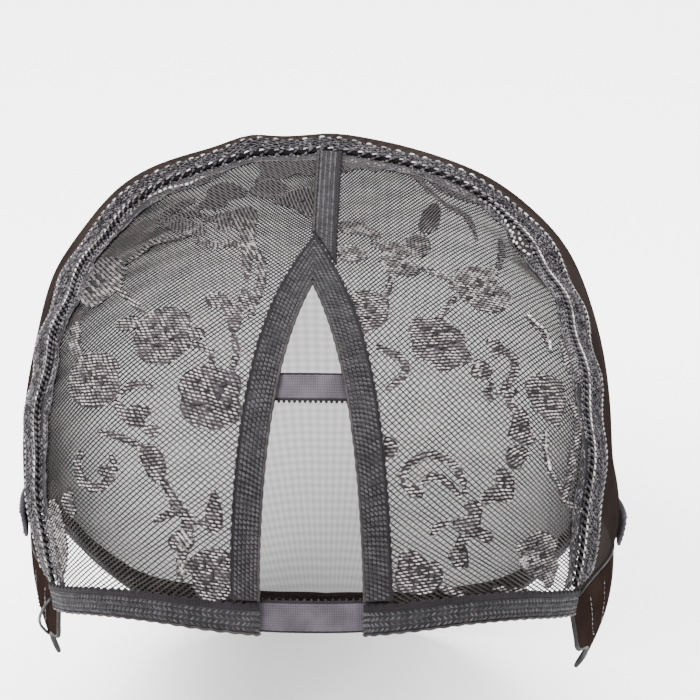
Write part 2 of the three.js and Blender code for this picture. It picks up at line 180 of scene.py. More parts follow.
# Radius and normal of the skin at every degree, read in between by lookUp
def makeSkin():
    az, el = np.meshgrid(np.radians(np.arange(-180, 181)), np.radians(np.arange(-90, 91)), indexing="ij")
    d = np.stack([np.cos(el) * np.cos(az), np.cos(el) * np.sin(az), np.sin(el)], -1).reshape(-1, 3)
    across = np.cross([0, 0, 1], d)
    across[np.linalg.norm(across, axis=1) < 0.01] = [0, 1, 0]
    across = unit(across)
    up = np.cross(d, across)

    def place(v):
        v = unit(v)
        return v * (formRadius(v) + relief(v))[:, None]

    step = 0.01
    a = place(d + across * step) - place(d - across * step)
    b = place(d + up * step) - place(d - up * step)
    radius = np.linalg.norm(place(d), axis=1)
    return radius.reshape(361, 181, 1), unit(np.cross(a, b)).reshape(361, 181, 3)


skinRadius, skinNormal = makeSkin()
print("skin ready")


def lookUp(table, d):
    az = np.degrees(np.arctan2(d[..., 1], d[..., 0])) + 180
    el = np.degrees(np.arcsin(np.clip(d[..., 2], -1, 1))) + 90
    i, j = np.clip(az.astype(int), 0, 359), np.clip(el.astype(int), 0, 179)
    a, b = (az - i)[..., None], (el - j)[..., None]
    low = table[i, j] * (1 - b) + table[i, j + 1] * b
    high = table[i + 1, j] * (1 - b) + table[i + 1, j + 1] * b
    return low * (1 - a) + high * a


def onSkin(d):
    d = unit(d)
    return d * lookUp(skinRadius, d), unit(lookUp(skinNormal, d))


# Directions in which pixels of the photo fall on the skin, searched from a ball around it
def fromPicture(x, y):
    ball, steps, share = 130, 60, 0.7
    ray = pixelRay(x, y)
    along = (ray * eye).sum(-1)
    t = -along - np.sqrt(np.maximum(along ** 2 - (eye @ eye - ball ** 2), 0))
    for i in range(steps):
        p = eye + ray * t[..., None]
        gap = np.linalg.norm(p, axis=-1) - lookUp(skinRadius, unit(p))[..., 0]
        t = t + gap * share
    return unit(onSkin(p)[0])


# Opening, seam and hem lines
opening = dict(length=84, width=25, shift=0.9, taper=2.5, binding=7.4)
hem = dict(width=8.2, top=8.6, end=50.4)
centre = dict(shift=2.6, width=6.4, lap=0.2, fromSeam=5.4, fromBinding=0.4)
frontScale = math.radians((form["front"] + form["crown"]) / 2)
hemRise = -hemRows[0, 1] * form["nape"]
apexRise = hemRise + opening["length"]


def frontDirection(across, rise):
    over = np.asarray(rise, float) / frontScale
    flat = overDirection(np.zeros_like(over), over)
    shift = opening["shift"] * np.clip((apexRise - rise) / opening["length"], 0, 1)
    flat = flat + ((across + shift) / formRadius(flat))[..., None] * np.array([1.0, 0, 0])
    return unit(flat)


def openingHalf(rise):
    share = np.clip((rise - hemRise) / opening["length"], 0, 1)
    return opening["width"] / 2 * (1 - share ** opening["taper"])


def besideOpening(distance):
    rise = hemRise + opening["length"] * np.linspace(0, 1, 61)
    step = opening["length"] / 200
    lean = (openingHalf(rise - step) - openingHalf(rise)) / step
    stretch = np.hypot(1, lean)
    line = np.stack([openingHalf(rise) + distance / stretch, rise + distance * lean / stretch], 1)
    if distance > 0:
        (x0, y0), (x1, y1) = line[-2:]
        line = np.vstack([line, [0, y1 + x1 * (y1 - y0) / (x0 - x1)]])
    line[0, 1] = hemRise
    return line


def reachOf(line):
    return np.concatenate([[0], np.cumsum(np.linalg.norm(np.diff(line, axis=0), axis=1))])


def placesAt(line, reach, wanted):
    return np.stack([np.interp(wanted, reach, line[:, 0]), np.interp(wanted, reach, line[:, 1])], -1)


def alongLine(line, share):
    reach = reachOf(line)
    return placesAt(line, reach, np.clip(share, 0, 1) * reach[-1])


def lineAbove(line, rise):
    i = int(np.argmax(line[:, 1] > rise))
    t = (rise - line[i - 1, 1]) / (line[i, 1] - line[i - 1, 1])
    return np.vstack([line[i - 1] * (1 - t) + line[i] * t, line[i:]])


def seamDirection(along, hand):
    return overDirection(readTable(seamRows, 2, along) * hand, readTable(seamRows, 1, along))


# distance is forwards from the seam's middle
def besideSeam(along, hand, distance):
    along = np.asarray(along, float)
    step = 0.004
    here = seamDirection(along, hand)
    heading = seamDirection(np.minimum(along + step, 1), hand) - seamDirection(np.maximum(along - step, 0), hand)
    atTop = (along > 1 - step)[..., None]
    level = np.stack([-np.ones_like(along) * hand, 0 * along, 0 * along], -1)
    sideways = unit(np.cross(here, np.where(atTop, level, heading))) * np.asarray(hand)[..., None]
    return unit(here + sideways * (distance / formRadius(here))[..., None])


def levelDirection(longitude, level):
    a = np.radians(longitude)
    flat = np.stack(np.broadcast_arrays(np.sin(a), -np.cos(a), 0 * a), -1)
    slope = np.zeros(np.broadcast(a, level).shape)
    for i in range(14):
        d = unit(flat + slope[..., None] * np.array([0, 0, 1.0]))
        slope = slope + (level - formRadius(d) * d[..., 2]) / form["back"]
    return unit(flat + slope[..., None] * np.array([0, 0, 1.0]))


def hemDirection(longitude, raised):
    return levelDirection(longitude, raised - readTable(hemRows, 1, np.abs(longitude)) * form["nape"])


def earDirection(longitude, raised):
    return levelDirection(longitude, raised - readTable(earRows, 1, np.abs(longitude)) * form["nape"])


def unitGrid(rows, columns):
    return np.meshgrid(np.linspace(0, 1, rows + 1), np.linspace(0, 1, columns + 1), indexing="ij")


# A piece of the skin with its own length and width in millimetres, on which threads and stitches are laid
class Patch:
    def __init__(self, direction, rows, columns):
        self.points, self.normals = onSkin(direction(*unitGrid(rows, columns)))
        self.rows, self.columns = rows, columns
        self.length = np.linalg.norm(np.diff(self.points, axis=0), axis=-1).sum(0).mean()
        self.width = np.linalg.norm(np.diff(self.points, axis=1), axis=-1).sum(1).mean()
        p = self.points
        corner = np.cross(p[1:, 1:] - p[:-1, :-1], p[:-1, 1:] - p[1:, :-1])
        self.area = np.linalg.norm(corner, axis=-1).sum() / 2

    def at(self, a, b, lift=0.0):
        x, y = np.clip(a, 0, 1) * self.rows, np.clip(b, 0, 1) * self.columns
        i = np.clip(x.astype(int), 0, self.rows - 1)
        j = np.clip(y.astype(int), 0, self.columns - 1)
        s, t = (x - i)[..., None], (y - j)[..., None]

        def between(grid):
            low = grid[i, j] * (1 - t) + grid[i, j + 1] * t
            return low * (1 - s) + (grid[i + 1, j] * (1 - t) + grid[i + 1, j + 1] * t) * s

        normal = unit(between(self.normals))
        return between(self.points) + normal * np.asarray(lift)[..., None], normal

    def atMm(self, x, y, lift=0.0):
        return self.at(x / self.length, y / self.width, lift)


# Mesh building
def quads(w, x, y, z):
    return np.stack([w, x, y, z], -1).reshape(-1, 4)


def addObject(name, points, faceSets, material, uv=None):
    mesh = bpy.data.meshes.new(name)
    points = toMetres(points.reshape(-1, 3)).astype(np.float32)
    faceSets = [f for f in faceSets if len(f)]
    sizes = np.concatenate([np.full(len(f), f.shape[1]) for f in faceSets])
    corners = np.concatenate([f.ravel() for f in faceSets]).astype(np.int32)
    mesh.vertices.add(len(points))
    mesh.vertices.foreach_set("co", points.ravel())
    mesh.loops.add(len(corners))
    mesh.loops.foreach_set("vertex_index", corners)
    mesh.polygons.add(len(sizes))
    mesh.polygons.foreach_set("loop_start", np.concatenate([[0], np.cumsum(sizes)[:-1]]).astype(np.int32))
    if uv is not None:
        layer = mesh.uv_layers.new(name="UVMap")
        layer.data.foreach_set("uv", uv.reshape(-1, 2)[corners].astype(np.float32).ravel())
    mesh.update(calc_edges=True)
    mesh.validate()
    mesh.shade_smooth()
    mesh.materials.append(material)
    made = bpy.data.objects.new(name, mesh)
    bpy.context.collection.objects.link(made)
    return made


# Round threads along paths, each a pair of points and surface normals
def addTubes(name, paths, radius, material, sides=3, squash=1.0):
    counts = np.array([len(p) for p, n in paths])
    p, n = np.concatenate([p for p, n in paths]), np.concatenate([n for p, n in paths])
    ends = np.cumsum(counts) - 1
    starts = ends - counts + 1
    index = np.arange(len(p))
    first, last = np.repeat(starts, counts), np.repeat(ends, counts)
    t = unit(p[np.minimum(index + 1, last)] - p[np.maximum(index - 1, first)])
    s = unit(np.cross(t, n))
    m = np.cross(s, t) * squash
    angle = np.arange(sides) * 2 * np.pi / sides + np.pi / 2
    ring = np.cos(angle)[None, :, None] * s[:, None] + np.sin(angle)[None, :, None] * m[:, None]
    radius = np.broadcast_to(np.asarray(radius, float), (len(p),))
    points = p[:, None] + ring * radius[:, None, None]
    k = np.arange(sides)
    body = index[index != last][:, None] * sides
    nextK = (k + 1) % sides
    walls = quads(body + k, body + sides + k, body + sides + nextK, body + nextK)
    caps = np.concatenate([starts[:, None] * sides + k, ends[:, None] * sides + k[::-1]])
    return addObject(name, points, [walls, caps], material)


# Short rounded stitches, thick in the middle
def dashPaths(point, normal, heading, length, radius):
    steps = np.array([-0.5, -0.3, 0, 0.3, 0.5])
    swell = np.array([0.35, 0.95, 1, 0.95, 0.35])
    bow = np.array([-0.6, -0.1, 0.1, -0.1, -0.6]) * radius
    paths = []
    for i in range(len(point)):
        line = point[i] + heading[i] * steps[:, None] * length + normal[i] * bow[:, None]
        paths.append((line, np.repeat(normal[i:i + 1], 5, 0)))
    return paths, np.tile(swell * radius, len(point))


# Closed thin wall over a patch, with softly rounded long edges
def wallObject(name, patch, rows, columns, low, high, material, edge=None, liftAt=None):
    a, b = unitGrid(rows, columns)
    extra = 0 if liftAt is None else liftAt(a * patch.length, b * patch.width)
    roll = np.sqrt(np.clip(np.minimum(b, 1 - b) * patch.width / 0.5, 0, 1))
    shiftA, shiftB = (a, b) if edge is None else edge(a, b)
    middle = (low + high) / 2
    top, normal = patch.at(shiftA, shiftB, middle + (high - middle) * (0.25 + 0.75 * roll) + extra)
    bottom, normal = patch.at(shiftA, shiftB, middle - (middle - low) * (0.25 + 0.75 * roll) + extra)
    uv = np.stack([a * patch.length, b * patch.width], -1)
    number = np.arange((rows + 1) * (columns + 1)).reshape(rows + 1, columns + 1)
    under = number + number.size
    faces = [
        quads(number[:-1, :-1], number[1:, :-1], number[1:, 1:], number[:-1, 1:]),
        quads(under[:-1, :-1], under[:-1, 1:], under[1:, 1:], under[1:, :-1]),
        quads(number[:-1, 0], under[:-1, 0], under[1:, 0], number[1:, 0]),
        quads(number[:-1, -1], number[1:, -1], under[1:, -1], under[:-1, -1]),
        quads(number[0, :-1], number[0, 1:], under[0, 1:], under[0, :-1]),
        quads(number[-1, :-1], under[-1, :-1], under[-1, 1:], number[-1, 1:]),
    ]
    return addObject(name, np.concatenate([top.reshape(-1, 3), bottom.reshape(-1, 3)]), faces, material,
                     np.concatenate([uv.reshape(-1, 2), uv.reshape(-1, 2)]))


# Parallel threads across a patch at an angle to its length
def latticePaths(patch, spacing, angle, lift, step, low, high, sway):
    d = np.array([math.cos(math.radians(angle)), math.sin(math.radians(angle))])
    side = np.array([-d[1], d[0]])
    box = np.array([[0, low], [patch.length, low], [0, high], [patch.length, high]])
    reach = box @ side
    paths = []
    for offset in np.arange(reach.min() + spacing / 2, reach.max(), spacing):
        base = side * offset
        enter, leave = -1e9, 1e9
        for k, (lo, hi) in enumerate([(0, patch.length), (low, high)]):
            t = sorted([(lo - base[k]) / d[k], (hi - base[k]) / d[k]])
            enter, leave = max(enter, t[0]), min(leave, t[1])
        if leave - enter < spacing:
            continue
        t = np.linspace(enter, leave, max(2, int(math.ceil((leave - enter) / step)) + 1))
        x, y = base[0] + t * d[0], base[1] + t * d[1]
        x = x + sway * np.sin(y * 1.3 + x * 0.21)
        paths.append(patch.atMm(x, y, lift))
    return paths


# Rows of places and leans, each kind joined into one
def joinRows(rows):
    return [np.concatenate(kind) for kind in zip(*rows)]


# Marks laid on a patch at places in millimetres, each turned by its lean from the patch's length
def addMarks(name, patch, x, y, lean, length, radius, lift, material, sides=3, squash=1.0):
    point, normal = patch.atMm(x, y, lift)
    ahead, n = patch.atMm(x + 0.5, y, lift)
    behind, n = patch.atMm(x - 0.5, y, lift)
    forward = unit(ahead - behind)
    angle = np.radians(np.broadcast_to(lean, x.shape))[:, None]
    heading = forward * np.cos(angle) + np.cross(normal, forward) * np.sin(angle)
    paths, radii = dashPaths(point, normal, heading, length, radius)
    return addTubes(name, paths, radii, material, sides, squash)


def addStitches(name, patch, across, pitch, length, radius, lift, lean, material, start=0.5):
    x = np.arange(start * pitch, patch.length - pitch / 2, pitch)
    return addMarks(name, patch, x, np.full_like(x, across), lean, length, radius, lift, material, 5)


# Materials
def shade(red, green, blue):
    def linear(c):
        c = c / 255
        return c / 12.92 if c <= 0.04045 else ((c + 0.055) / 1.055) ** 2.4
    return (linear(red), linear(green), linear(blue), 1)


class Wire:
    def __init__(self, graph, socket):
        self.graph, self.socket = graph, socket

    def calc(self, operation, *others):
        return self.graph.node("ShaderNodeMath", {"operation": operation}, dict(enumerate([self, *others])))

    def __add__(self, other):
        return self.calc("ADD", other)

    def __sub__(self, other):
        return self.calc("SUBTRACT", other)

    def __mul__(self, other):
        return self.calc("MULTIPLY", other)

    def __rsub__(self, other):
        return self.graph.node("ShaderNodeMath", {"operation": "SUBTRACT"}, {0: other, 1: self})

    __radd__, __rmul__ = __add__, __mul__

    def sin(self):
        return self.calc("SINE")

    def above(self, low, high):
        return self.graph.node("ShaderNodeMapRange", {"interpolation_type": "SMOOTHSTEP"},
                               {"Value": self, "From Min": low, "From Max": high})


class Graph:
    def __init__(self, name, **uniform):
        self.material = bpy.data.materials.new(name)
        self.material.use_nodes = True
        self.tree = self.material.node_tree
        self.shader = self.tree.nodes["Principled BSDF"]
        for key, value in uniform.items():
            self.shader.inputs[key.replace("_", " ")].default_value = value

    def node(self, kind, settings=None, inputs=None, output=0):
        made = self.tree.nodes.new(kind)
        for key, value in (settings or {}).items():
            setattr(made, key, value)
        for key, value in (inputs or {}).items():
            if isinstance(value, Wire):
                self.tree.links.new(value.socket, made.inputs[key])
            else:
                made.inputs[key].default_value = value
        return Wire(self, made.outputs[output])

    def place(self):
        return self.node("ShaderNodeTexCoord", output="Object")

    # How far back a place lies, in metres
    def depth(self):
        return self.node("ShaderNodeSeparateXYZ", None, {0: self.place()}, 1)

    def uv(self):
        flat = self.node("ShaderNodeUVMap", {"uv_map": "UVMap"})
        split = self.node("ShaderNodeSeparateXYZ", None, {0: flat})
        return split, Wire(self, split.socket.node.outputs[1])

    def noise(self, scale, detail=3, where=None):
        return self.node("ShaderNodeTexNoise", None,
                         {"Vector": where or self.place(), "Scale": scale, "Detail": detail})

    def blend(self, factor, a, b):
        return self.node("ShaderNodeMix", {"data_type": "RGBA"}, {0: factor, 6: a, 7: b}, 2)

    def bump(self, height, distance, strength):
        return self.node("ShaderNodeBump", None, {"Height": height, "Distance": distance, "Strength": strength})

    def feed(self, name, wire):
        self.tree.links.new(wire.socket, self.shader.inputs[name])


# Yarn: two tones in soft patches and a fine twisted grain; with atTop, painted shade darkens it towards the crown
def yarnMaterial(name, dark, bright, scale, roughness, low=0.42, high=0.6, atTop=None):
    g = Graph(name, Specular_IOR_Level=0.2 if atTop is None else 0.1)
    tone = g.noise(scale, 2).above(low, high)
    color = g.blend(tone, shade(*dark), shade(*bright))
    # Painted shade: towards the back of the cap, at the crown of the lace, the colour turns to the darker atTop
    if atTop:
        color = g.blend(g.depth().above(-0.04, -0.004), color, shade(*atTop))
    g.feed("Base Color", color)
    g.feed("Roughness", roughness - 0.12 * tone)
    g.feed("Normal", g.bump(g.noise(5200, 1), 0.00008, 0.5))
    return g.material


# Woven or knitted tape: fine crossed ribs from its own length and width in millimetres
def tapeMaterial(name, dark, bright, along, across, roughness=0.75, depth=0.00012, sheen=0.35):
    g = Graph(name, Sheen_Weight=sheen, Sheen_Roughness=0.45, Specular_IOR_Level=0.05 if sheen else 0)
    x, y = g.uv()
    ribs = (x * (2 * math.pi / along)).sin() * 0.5 + 0.5
    rows = (y * (2 * math.pi / across)).sin() * 0.5 + 0.5
    weave = ribs * rows
    worn = g.noise(140, 4).above(0.35, 0.7)
    tone = weave * 0.6 + worn * 0.4
    g.feed("Base Color", g.blend(tone, shade(*dark), shade(*bright)))
    g.feed("Roughness", roughness + 0.1 * worn)
    g.feed("Normal", g.bump(weave + 0.4 * g.noise(2600, 2), depth, 0.8))
    return g.material


# Sheer stretch mesh: fine crossed yarns, closed at the sides and opened by the stretch at the back
def sheerMaterial(name, dark, bright, closed, opened):
    g = Graph(name, Specular_IOR_Level=0)
    x, y = g.uv()
    cell = 2 * math.pi / 2.3
    yarn = (x * (2 * math.pi / 0.55)).sin() * (y * (2 * math.pi / 0.5)).sin() * 0.5 + 0.5
    cells = ((x + y) * cell).sin() * ((x - y) * cell).sin() * 0.5 + 0.5
    cloud = g.noise(45, 3).above(0.3, 0.7)
    back = g.depth().above(0.02, 0.07) * y.above(14, 46)
    g.feed("Base Color", g.blend(cloud * 0.35 + cells * 0.65, shade(*dark), shade(*bright)))
    g.feed("Roughness", 0.8 + 0.12 * cloud)
    g.feed("Alpha", closed - (closed - opened) * back * (1.2 - 0.4 * cells) + 0.01 * yarn)
    g.feed("Normal", g.bump(yarn + 0.5 * g.noise(900, 3), 0.00006, 0.7))
    return g.material


netYarn = yarnMaterial("netYarn", (14, 11, 11), (30, 26, 25), 120, 0.6)
# The flowers and their ground carry painted shade towards the crown (atTop)
flowerYarnWithCrownShade = yarnMaterial("flowerYarnWithCrownShade", (68, 65, 65), (128, 122, 122), 420, 0.45, atTop=(42, 39, 40))
flowerGroundWithCrownShade = yarnMaterial("flowerGroundWithCrownShade", (25, 22, 24), (40, 36, 39), 300, 0.85, atTop=(13, 11, 12))
# Near-black cloth for painted shade: the fold and the inside of the pleat
paintedShadeCloth = yarnMaterial("paintedShadeCloth", (7, 5, 5), (13, 10, 9), 200, 0.9)
selvageYarn = yarnMaterial("selvageYarn", (34, 32, 34), (84, 80, 83), 460, 0.5)
outlineYarn = yarnMaterial("outlineYarn", (20, 17, 19), (40, 36, 39), 300, 0.6)
knitYarn = yarnMaterial("knitYarn", (24, 22, 25), (50, 48, 52), 420, 0.55, 0.35, 0.65)
knitCloth = yarnMaterial("knitCloth", (8, 7, 8), (15, 13, 15), 260, 0.85)
knitGround = yarnMaterial("knitGround", (12, 11, 12), (22, 20, 22), 200, 0.85)
rollYarn = yarnMaterial("rollYarn", (14, 11, 11), (27, 22, 22), 400, 0.7)
selvageTape = tapeMaterial("selvageTape", (13, 11, 13), (29, 25, 29), 0.7, 0.9, sheen=0.02)
seamTapeCloth = tapeMaterial("seamTapeCloth", (8, 7, 8), (19, 17, 19), 0.8, 0.7, sheen=0)
seamYarn = yarnMaterial("seamYarn", (17, 15, 17), (44, 41, 44), 460, 0.55)
speckYarn = yarnMaterial("speckYarn", (30, 28, 30), (80, 76, 80), 520, 0.5, 0.42, 0.62)
chainYarn = yarnMaterial("chainYarn", (84, 80, 80), (150, 144, 144), 300, 0.45)
# Near-black yarn for dark cords and edges, also laid as painted shade in the flower slots, the knit holes and grooves
# and the shade rows of the seam tape
darkYarnAndShade = yarnMaterial("darkYarnAndShade", (5, 4, 4), (10, 9, 9), 260, 0.75)
strapTape = tapeMaterial("strapTape", (37, 34, 38), (66, 61, 68), 0.55, 0.7, 0.65, 0.00008, 0.05)
tabCloth = tapeMaterial("tabCloth", (21, 15, 13), (34, 26, 23), 0.5, 0.5, 0.85, 0.00005, 0)
sheerCloth = sheerMaterial("sheerCloth", (16, 13, 12), (38, 32, 30), 0.99, 0.83)
print("materials ready")


def finishPiece(piece, nodes=(), details=()):
    for detail in details:
        detail.parent = piece
    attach(piece, "root")
    if nodes:
        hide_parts(*nodes)


def handOf(t):
    return np.where(t < 0.5, -1.0, 1.0)


def fromMiddle(t):
    return 1 - np.abs(1 - 2 * t)


# Sides, back and nape in one sheer stretch panel
panel = dict(rows=300, columns=72, lift=-0.5, start=54, overlap=-0.2, edge=0.997, edgeRadius=0.55)


def panelDirection(w, v):
    hand, share = handOf(w), fromMiddle(w)
    a = besideSeam(share, hand, panel["overlap"] + 0 * share)
    b = earDirection(hand * (panel["start"] + (180 - panel["start"]) * share), 0 * share)
    angle = np.arccos(np.clip((a * b).sum(-1), -1, 1))[..., None]
    return unit(a * np.sin((1 - v[..., None]) * angle) + b * np.sin(v[..., None] * angle))


def makePanel():
    patch = Patch(panelDirection, 240, 60)
    rows, columns = panel["rows"], panel["columns"]
    a, b = unitGrid(rows, columns)
    points, normals = patch.at(a, b, panel["lift"])
    number = np.arange(points[..., 0].size).reshape(rows + 1, columns + 1)
    faces = quads(number[1:, :-1], number[1:, 1:], number[:-1, 1:], number[:-1, :-1])
    uv = np.stack([a * patch.length, b * patch.width], -1)
    cloth = addObject("stretchPanelCloth", points, [faces], sheerCloth, uv)
    t = np.linspace(0, 1, 400)
    rim = [patch.at(t, np.full_like(t, panel["edge"]), panel["lift"])]
    roll = addTubes("stretchPanelEdge", rim, panel["edgeRadius"], darkYarnAndShade, 6)
    finishPiece(cloth, ["stretch_panel"], [roll])


makePanel()
print("stretch panel ready")

# Wide tape over the seam, with its chain stitches and the crossed threads between them
tape = dict(width=10, low=0.4, high=1.45, wave=0.45, chainPitch=1.85, speckPitch=1.3, speckRow=0.8)


def seamFoot(distance):
    along = np.arange(0, 0.5, 0.002)
    d = besideSeam(along, 1, distance + 0 * along)
    longitude = np.degrees(np.arctan2(d[:, 0], -d[:, 1]))
    top = hemDirection(np.minimum(longitude, hem["end"]), hem["top"])
    return along[np.argmax(d[:, 2] > top[:, 2])]


def tapeDirection(t, u):
    half = tape["width"] / 2
    foot = np.interp(u, [0, 0.5, 1], [seamFoot(-half), seamFoot(0), seamFoot(half)])
    return besideSeam(foot + (1 - foot) * fromMiddle(t), handOf(t), (2 * u - 1) * half)


def ruffle(x, y):
    swell = np.sin(x * 0.43 + 1.2 * np.sin(x * 0.11)) * 0.5 + np.sin(x * 0.97 + 2) * 0.25
    edge = np.abs(2 * y / tape["width"] - 1) ** 2
    return 0.22 * swell * (0.35 + 0.65 * edge)


def makeTape():
    patch = Patch(tapeDirection, 320, 8)

    def edge(a, b):
        x = a * patch.length
        wave = tape["wave"] * (np.sin(x * 0.62) + 0.6 * np.sin(x * 1.37 + 1)) / patch.width
        return a, np.clip(b + wave * (2 * b - 1) ** 3 * 0.6, -0.02, 1.02)

    cloth = wallObject("seamTapeCloth", patch, 420, 12, tape["low"], tape["high"], seamTapeCloth, edge, ruffle)
    high = tape["high"]
    details = []
    for name, angle in (("seamTapeThreadsA", 60), ("seamTapeThreadsB", -56)):
        crossed = latticePaths(patch, 1.2, angle, high + 0.08, step=1.4, low=0.9, high=9.1, sway=0.3)
        details.append(addTubes(name, crossed, 0.2, seamYarn))
    for name, across, lift, lean, material, start, length, radius in [
        ("seamTapeChainOuter", 0.8, 0.25, 20, chainYarn, 0.5, 1.5, 0.27),
        ("seamTapeChainInner", 9.1, 0.25, 20, chainYarn, 0.3, 1.5, 0.25),
        ("seamTapeChainSecond", 1.75, 0.25, -24, speckYarn, 0.9, 1.35, 0.27),
        ("seamTapeChainThird", 8.1, 0.25, -24, speckYarn, 0.7, 1.35, 0.27),
        ("seamTapeOverlockOuter", 0.1, 0.1, 62, seamYarn, 0.4, 1.5, 0.34),
        ("seamTapeOverlockInner", 9.95, 0, 50, seamYarn, 0.6, 1.7, 0.4),
        ("seamTapeFootInner", 10.15, -0.75, 50, seamYarn, 1.3, 1.8, 0.45),
        ("seamTapeShadeOuter", 1.25, 0.25, 24, darkYarnAndShade, 1.0, 1.5, 0.26),
        ("seamTapeShadeInner", 8.65, 0.25, 24, rollYarn, 0.9, 1.5, 0.26),
    ]:
        details.append(addStitches(name, patch, across, tape["chainPitch"], length, radius, high + lift, lean,
                                   material, start))
    x = np.arange(0.7, patch.length - 0.7, tape["speckPitch"])
    rows = np.arange(2.6, 7.5, tape["speckRow"])
    grid = [(x + 0.65 * (k % 2) + 0.35 * np.sin(x * 1.9 + 2.1 * k), y + 0.25 * np.sin(x * 0.9 + k),
             0 * x + (50 if k % 2 else -46) + 18 * np.sin(x * 0.6 + k)) for k, y in enumerate(rows)]
    xs, ys, leans = joinRows(grid)
    keep = np.sin(xs * 0.37 + ys * 1.7) + np.sin(xs * 1.13 - ys) > -0.9
    details.append(addMarks("seamTapeSpecks", patch, xs[keep], ys[keep], leans[keep], 0.95, 0.19, high + 0.24,
                            speckYarn))
    finishPiece(cloth, ["seam_tape"], details)


makeTape()
print("seam tape ready")

# Lace panels: a net of two crossing thread families with embroidered flowers
lace = dict(spacing=1.04, radius=0.19, lift=-0.35, step=2.0, middle=(27.0, 48.0), scale=84, clear=0.2)

# Directions of the two thread families in the photo, in degrees rising to the right: x, y, first, second
threads = [
    (80, 430, 50, -40), (110, 330, 36, -40), (185, 275, 30, -38), (120, 540, 40, -38), (200, 465, 42, -42),
    (240, 175, 25, -36), (285, 215, 22, -32), (175, 205, 28, -50), (220, 300, 30, -40), (75, 500, 45, -38),
    (395, 220, 36, -48), (350, 200, 44, -44), (430, 190, 28, -50), (470, 250, 36, -48), (420, 290, 30, -44),
    (450, 430, 38, -38), (530, 340, 26, -46), (420, 540, 36, -36), (500, 560, 36, -42), (540, 480, 34, -44),
]


# A flat map of the skin round the middle of one lace panel, in millimetres
class LaceChart:
    def __init__(self, hand):
        self.hand = hand
        self.middle = overDirection(lace["middle"][0] * hand, lace["middle"][1])
        self.east = unit(np.cross([0, 0.3, 1.0], self.middle))
        self.north = np.cross(self.middle, self.east)
        self.fitThreads()

    def flat(self, d):
        angle = np.arccos(np.clip(d @ self.middle, -1, 1))
        x, y = d @ self.east, d @ self.north
        size = np.maximum(np.hypot(x, y), 1e-9)
        return np.stack([x, y], -1) * (angle / size * lace["scale"])[..., None]

    def direction(self, flat):
        size = np.maximum(np.linalg.norm(flat, axis=-1), 1e-9)
        angle = (size / lace["scale"])[..., None]
        way = flat[..., :1] * self.east + flat[..., 1:] * self.north
        return unit(np.cos(angle) * self.middle + np.sin(angle) * way / size[..., None])

    # For each family a curved ruler whose equal readings run along the threads
    def fitThreads(self):
        rows = np.array([r for r in threads if (r[0] > photo["split"]) == (self.hand > 0)], float)
        here = self.flat(fromPicture(rows[:, 0], rows[:, 1]))
        self.rulers = []
        for column in (2, 3):
            turned = np.radians(rows[:, column])
            ahead = fromPicture(rows[:, 0] + 6 * np.cos(turned), rows[:, 1] - 6 * np.sin(turned))
            way = unit(self.flat(ahead) - here)
            x, y, one, none = here[:, 0], here[:, 1], np.ones(len(rows)), np.zeros(len(rows))
            left = np.vstack([np.stack([one, none, 2 * x, y, none], 1), np.stack([none, one, none, x, 2 * y], 1)])
            self.rulers.append(np.linalg.lstsq(left, np.concatenate([-way[:, 1], way[:, 0]]), rcond=None)[0])

    def reading(self, flat, family):
        a, b, c, d, e = self.rulers[family]
        x, y = flat[..., 0], flat[..., 1]
        return a * x + b * y + c * x * x + d * x * y + e * y * y

    def slopes(self, flat, family):
        a, b, c, d, e = self.rulers[family]
        x, y = flat[..., 0], flat[..., 1]
        return a + 2 * c * x + d * y, b + d * x + 2 * e * y

    # The place where both rulers show the wanted readings
    def placeOf(self, first, second):
        flat = np.zeros(np.broadcast(first, second).shape + (2,))
        for i in range(12):
            u, v = self.reading(flat, 0) - first, self.reading(flat, 1) - second
            (ux, uy), (vx, vy) = self.slopes(flat, 0), self.slopes(flat, 1)
            size = ux * vy - uy * vx
            step = np.stack([(vy * u - uy * v) / size, (ux * v - vx * u) / size], -1)
            flat = flat - np.clip(step, -25, 25)
        return flat, np.abs(u) + np.abs(v) < 0.01


def laceOutline(hand):
    half = opening["binding"] / 2 + 0.4
    edge = besideOpening(half)
    middleX = hand * (centre["shift"] + hand * centre["lap"])
    point = edge[-1]
    flank = edge[(edge[:, 1] < point[1] - opening["binding"]) & (edge[:, 0] > middleX)]
    crown = (seamRows[-1, 1] - 0.4) * frontScale
    inner = np.vstack([flank, [middleX, point[1]], [middleX, crown]])
    inner[0, 1] = hemRise + 1
    line = alongLine(inner, np.linspace(0, 1, 90))
    inside = frontDirection(line[:, 0] * hand, line[:, 1])
    along = np.linspace(1, 0, 90)
    outside = besideSeam(along, hand, lace["clear"] + 0 * along)
    first = math.degrees(math.atan2(inside[0, 0] * hand, -inside[0, 1]))
    last = math.degrees(math.atan2(outside[-1, 0] * hand, -outside[-1, 1]))
    bottom = hemDirection(hand * np.linspace(last, first, 40), 1.0 + np.zeros(40))
    return np.vstack([inside, outside, bottom])


def insideOutline(x, y, outline):
    inside = np.zeros(x.shape, bool)
    x0, y0 = outline[:, 0], outline[:, 1]
    x1, y1 = np.roll(x0, -1), np.roll(y0, -1)
    for i in range(len(outline)):
        crosses = (y0[i] > y) != (y1[i] > y)
        if y0[i] != y1[i]:
            inside ^= crosses & (x < (x1[i] - x0[i]) * (y - y0[i]) / (y1[i] - y0[i]) + x0[i])
    return inside


# Runs of at least two neighbours that are kept
def runsOf(keep):
    edges = np.diff(np.concatenate([[0], keep.astype(int), [0]]))
    return [(a, b) for a, b in zip(np.where(edges == 1)[0], np.where(edges == -1)[0]) if b - a >= 2]


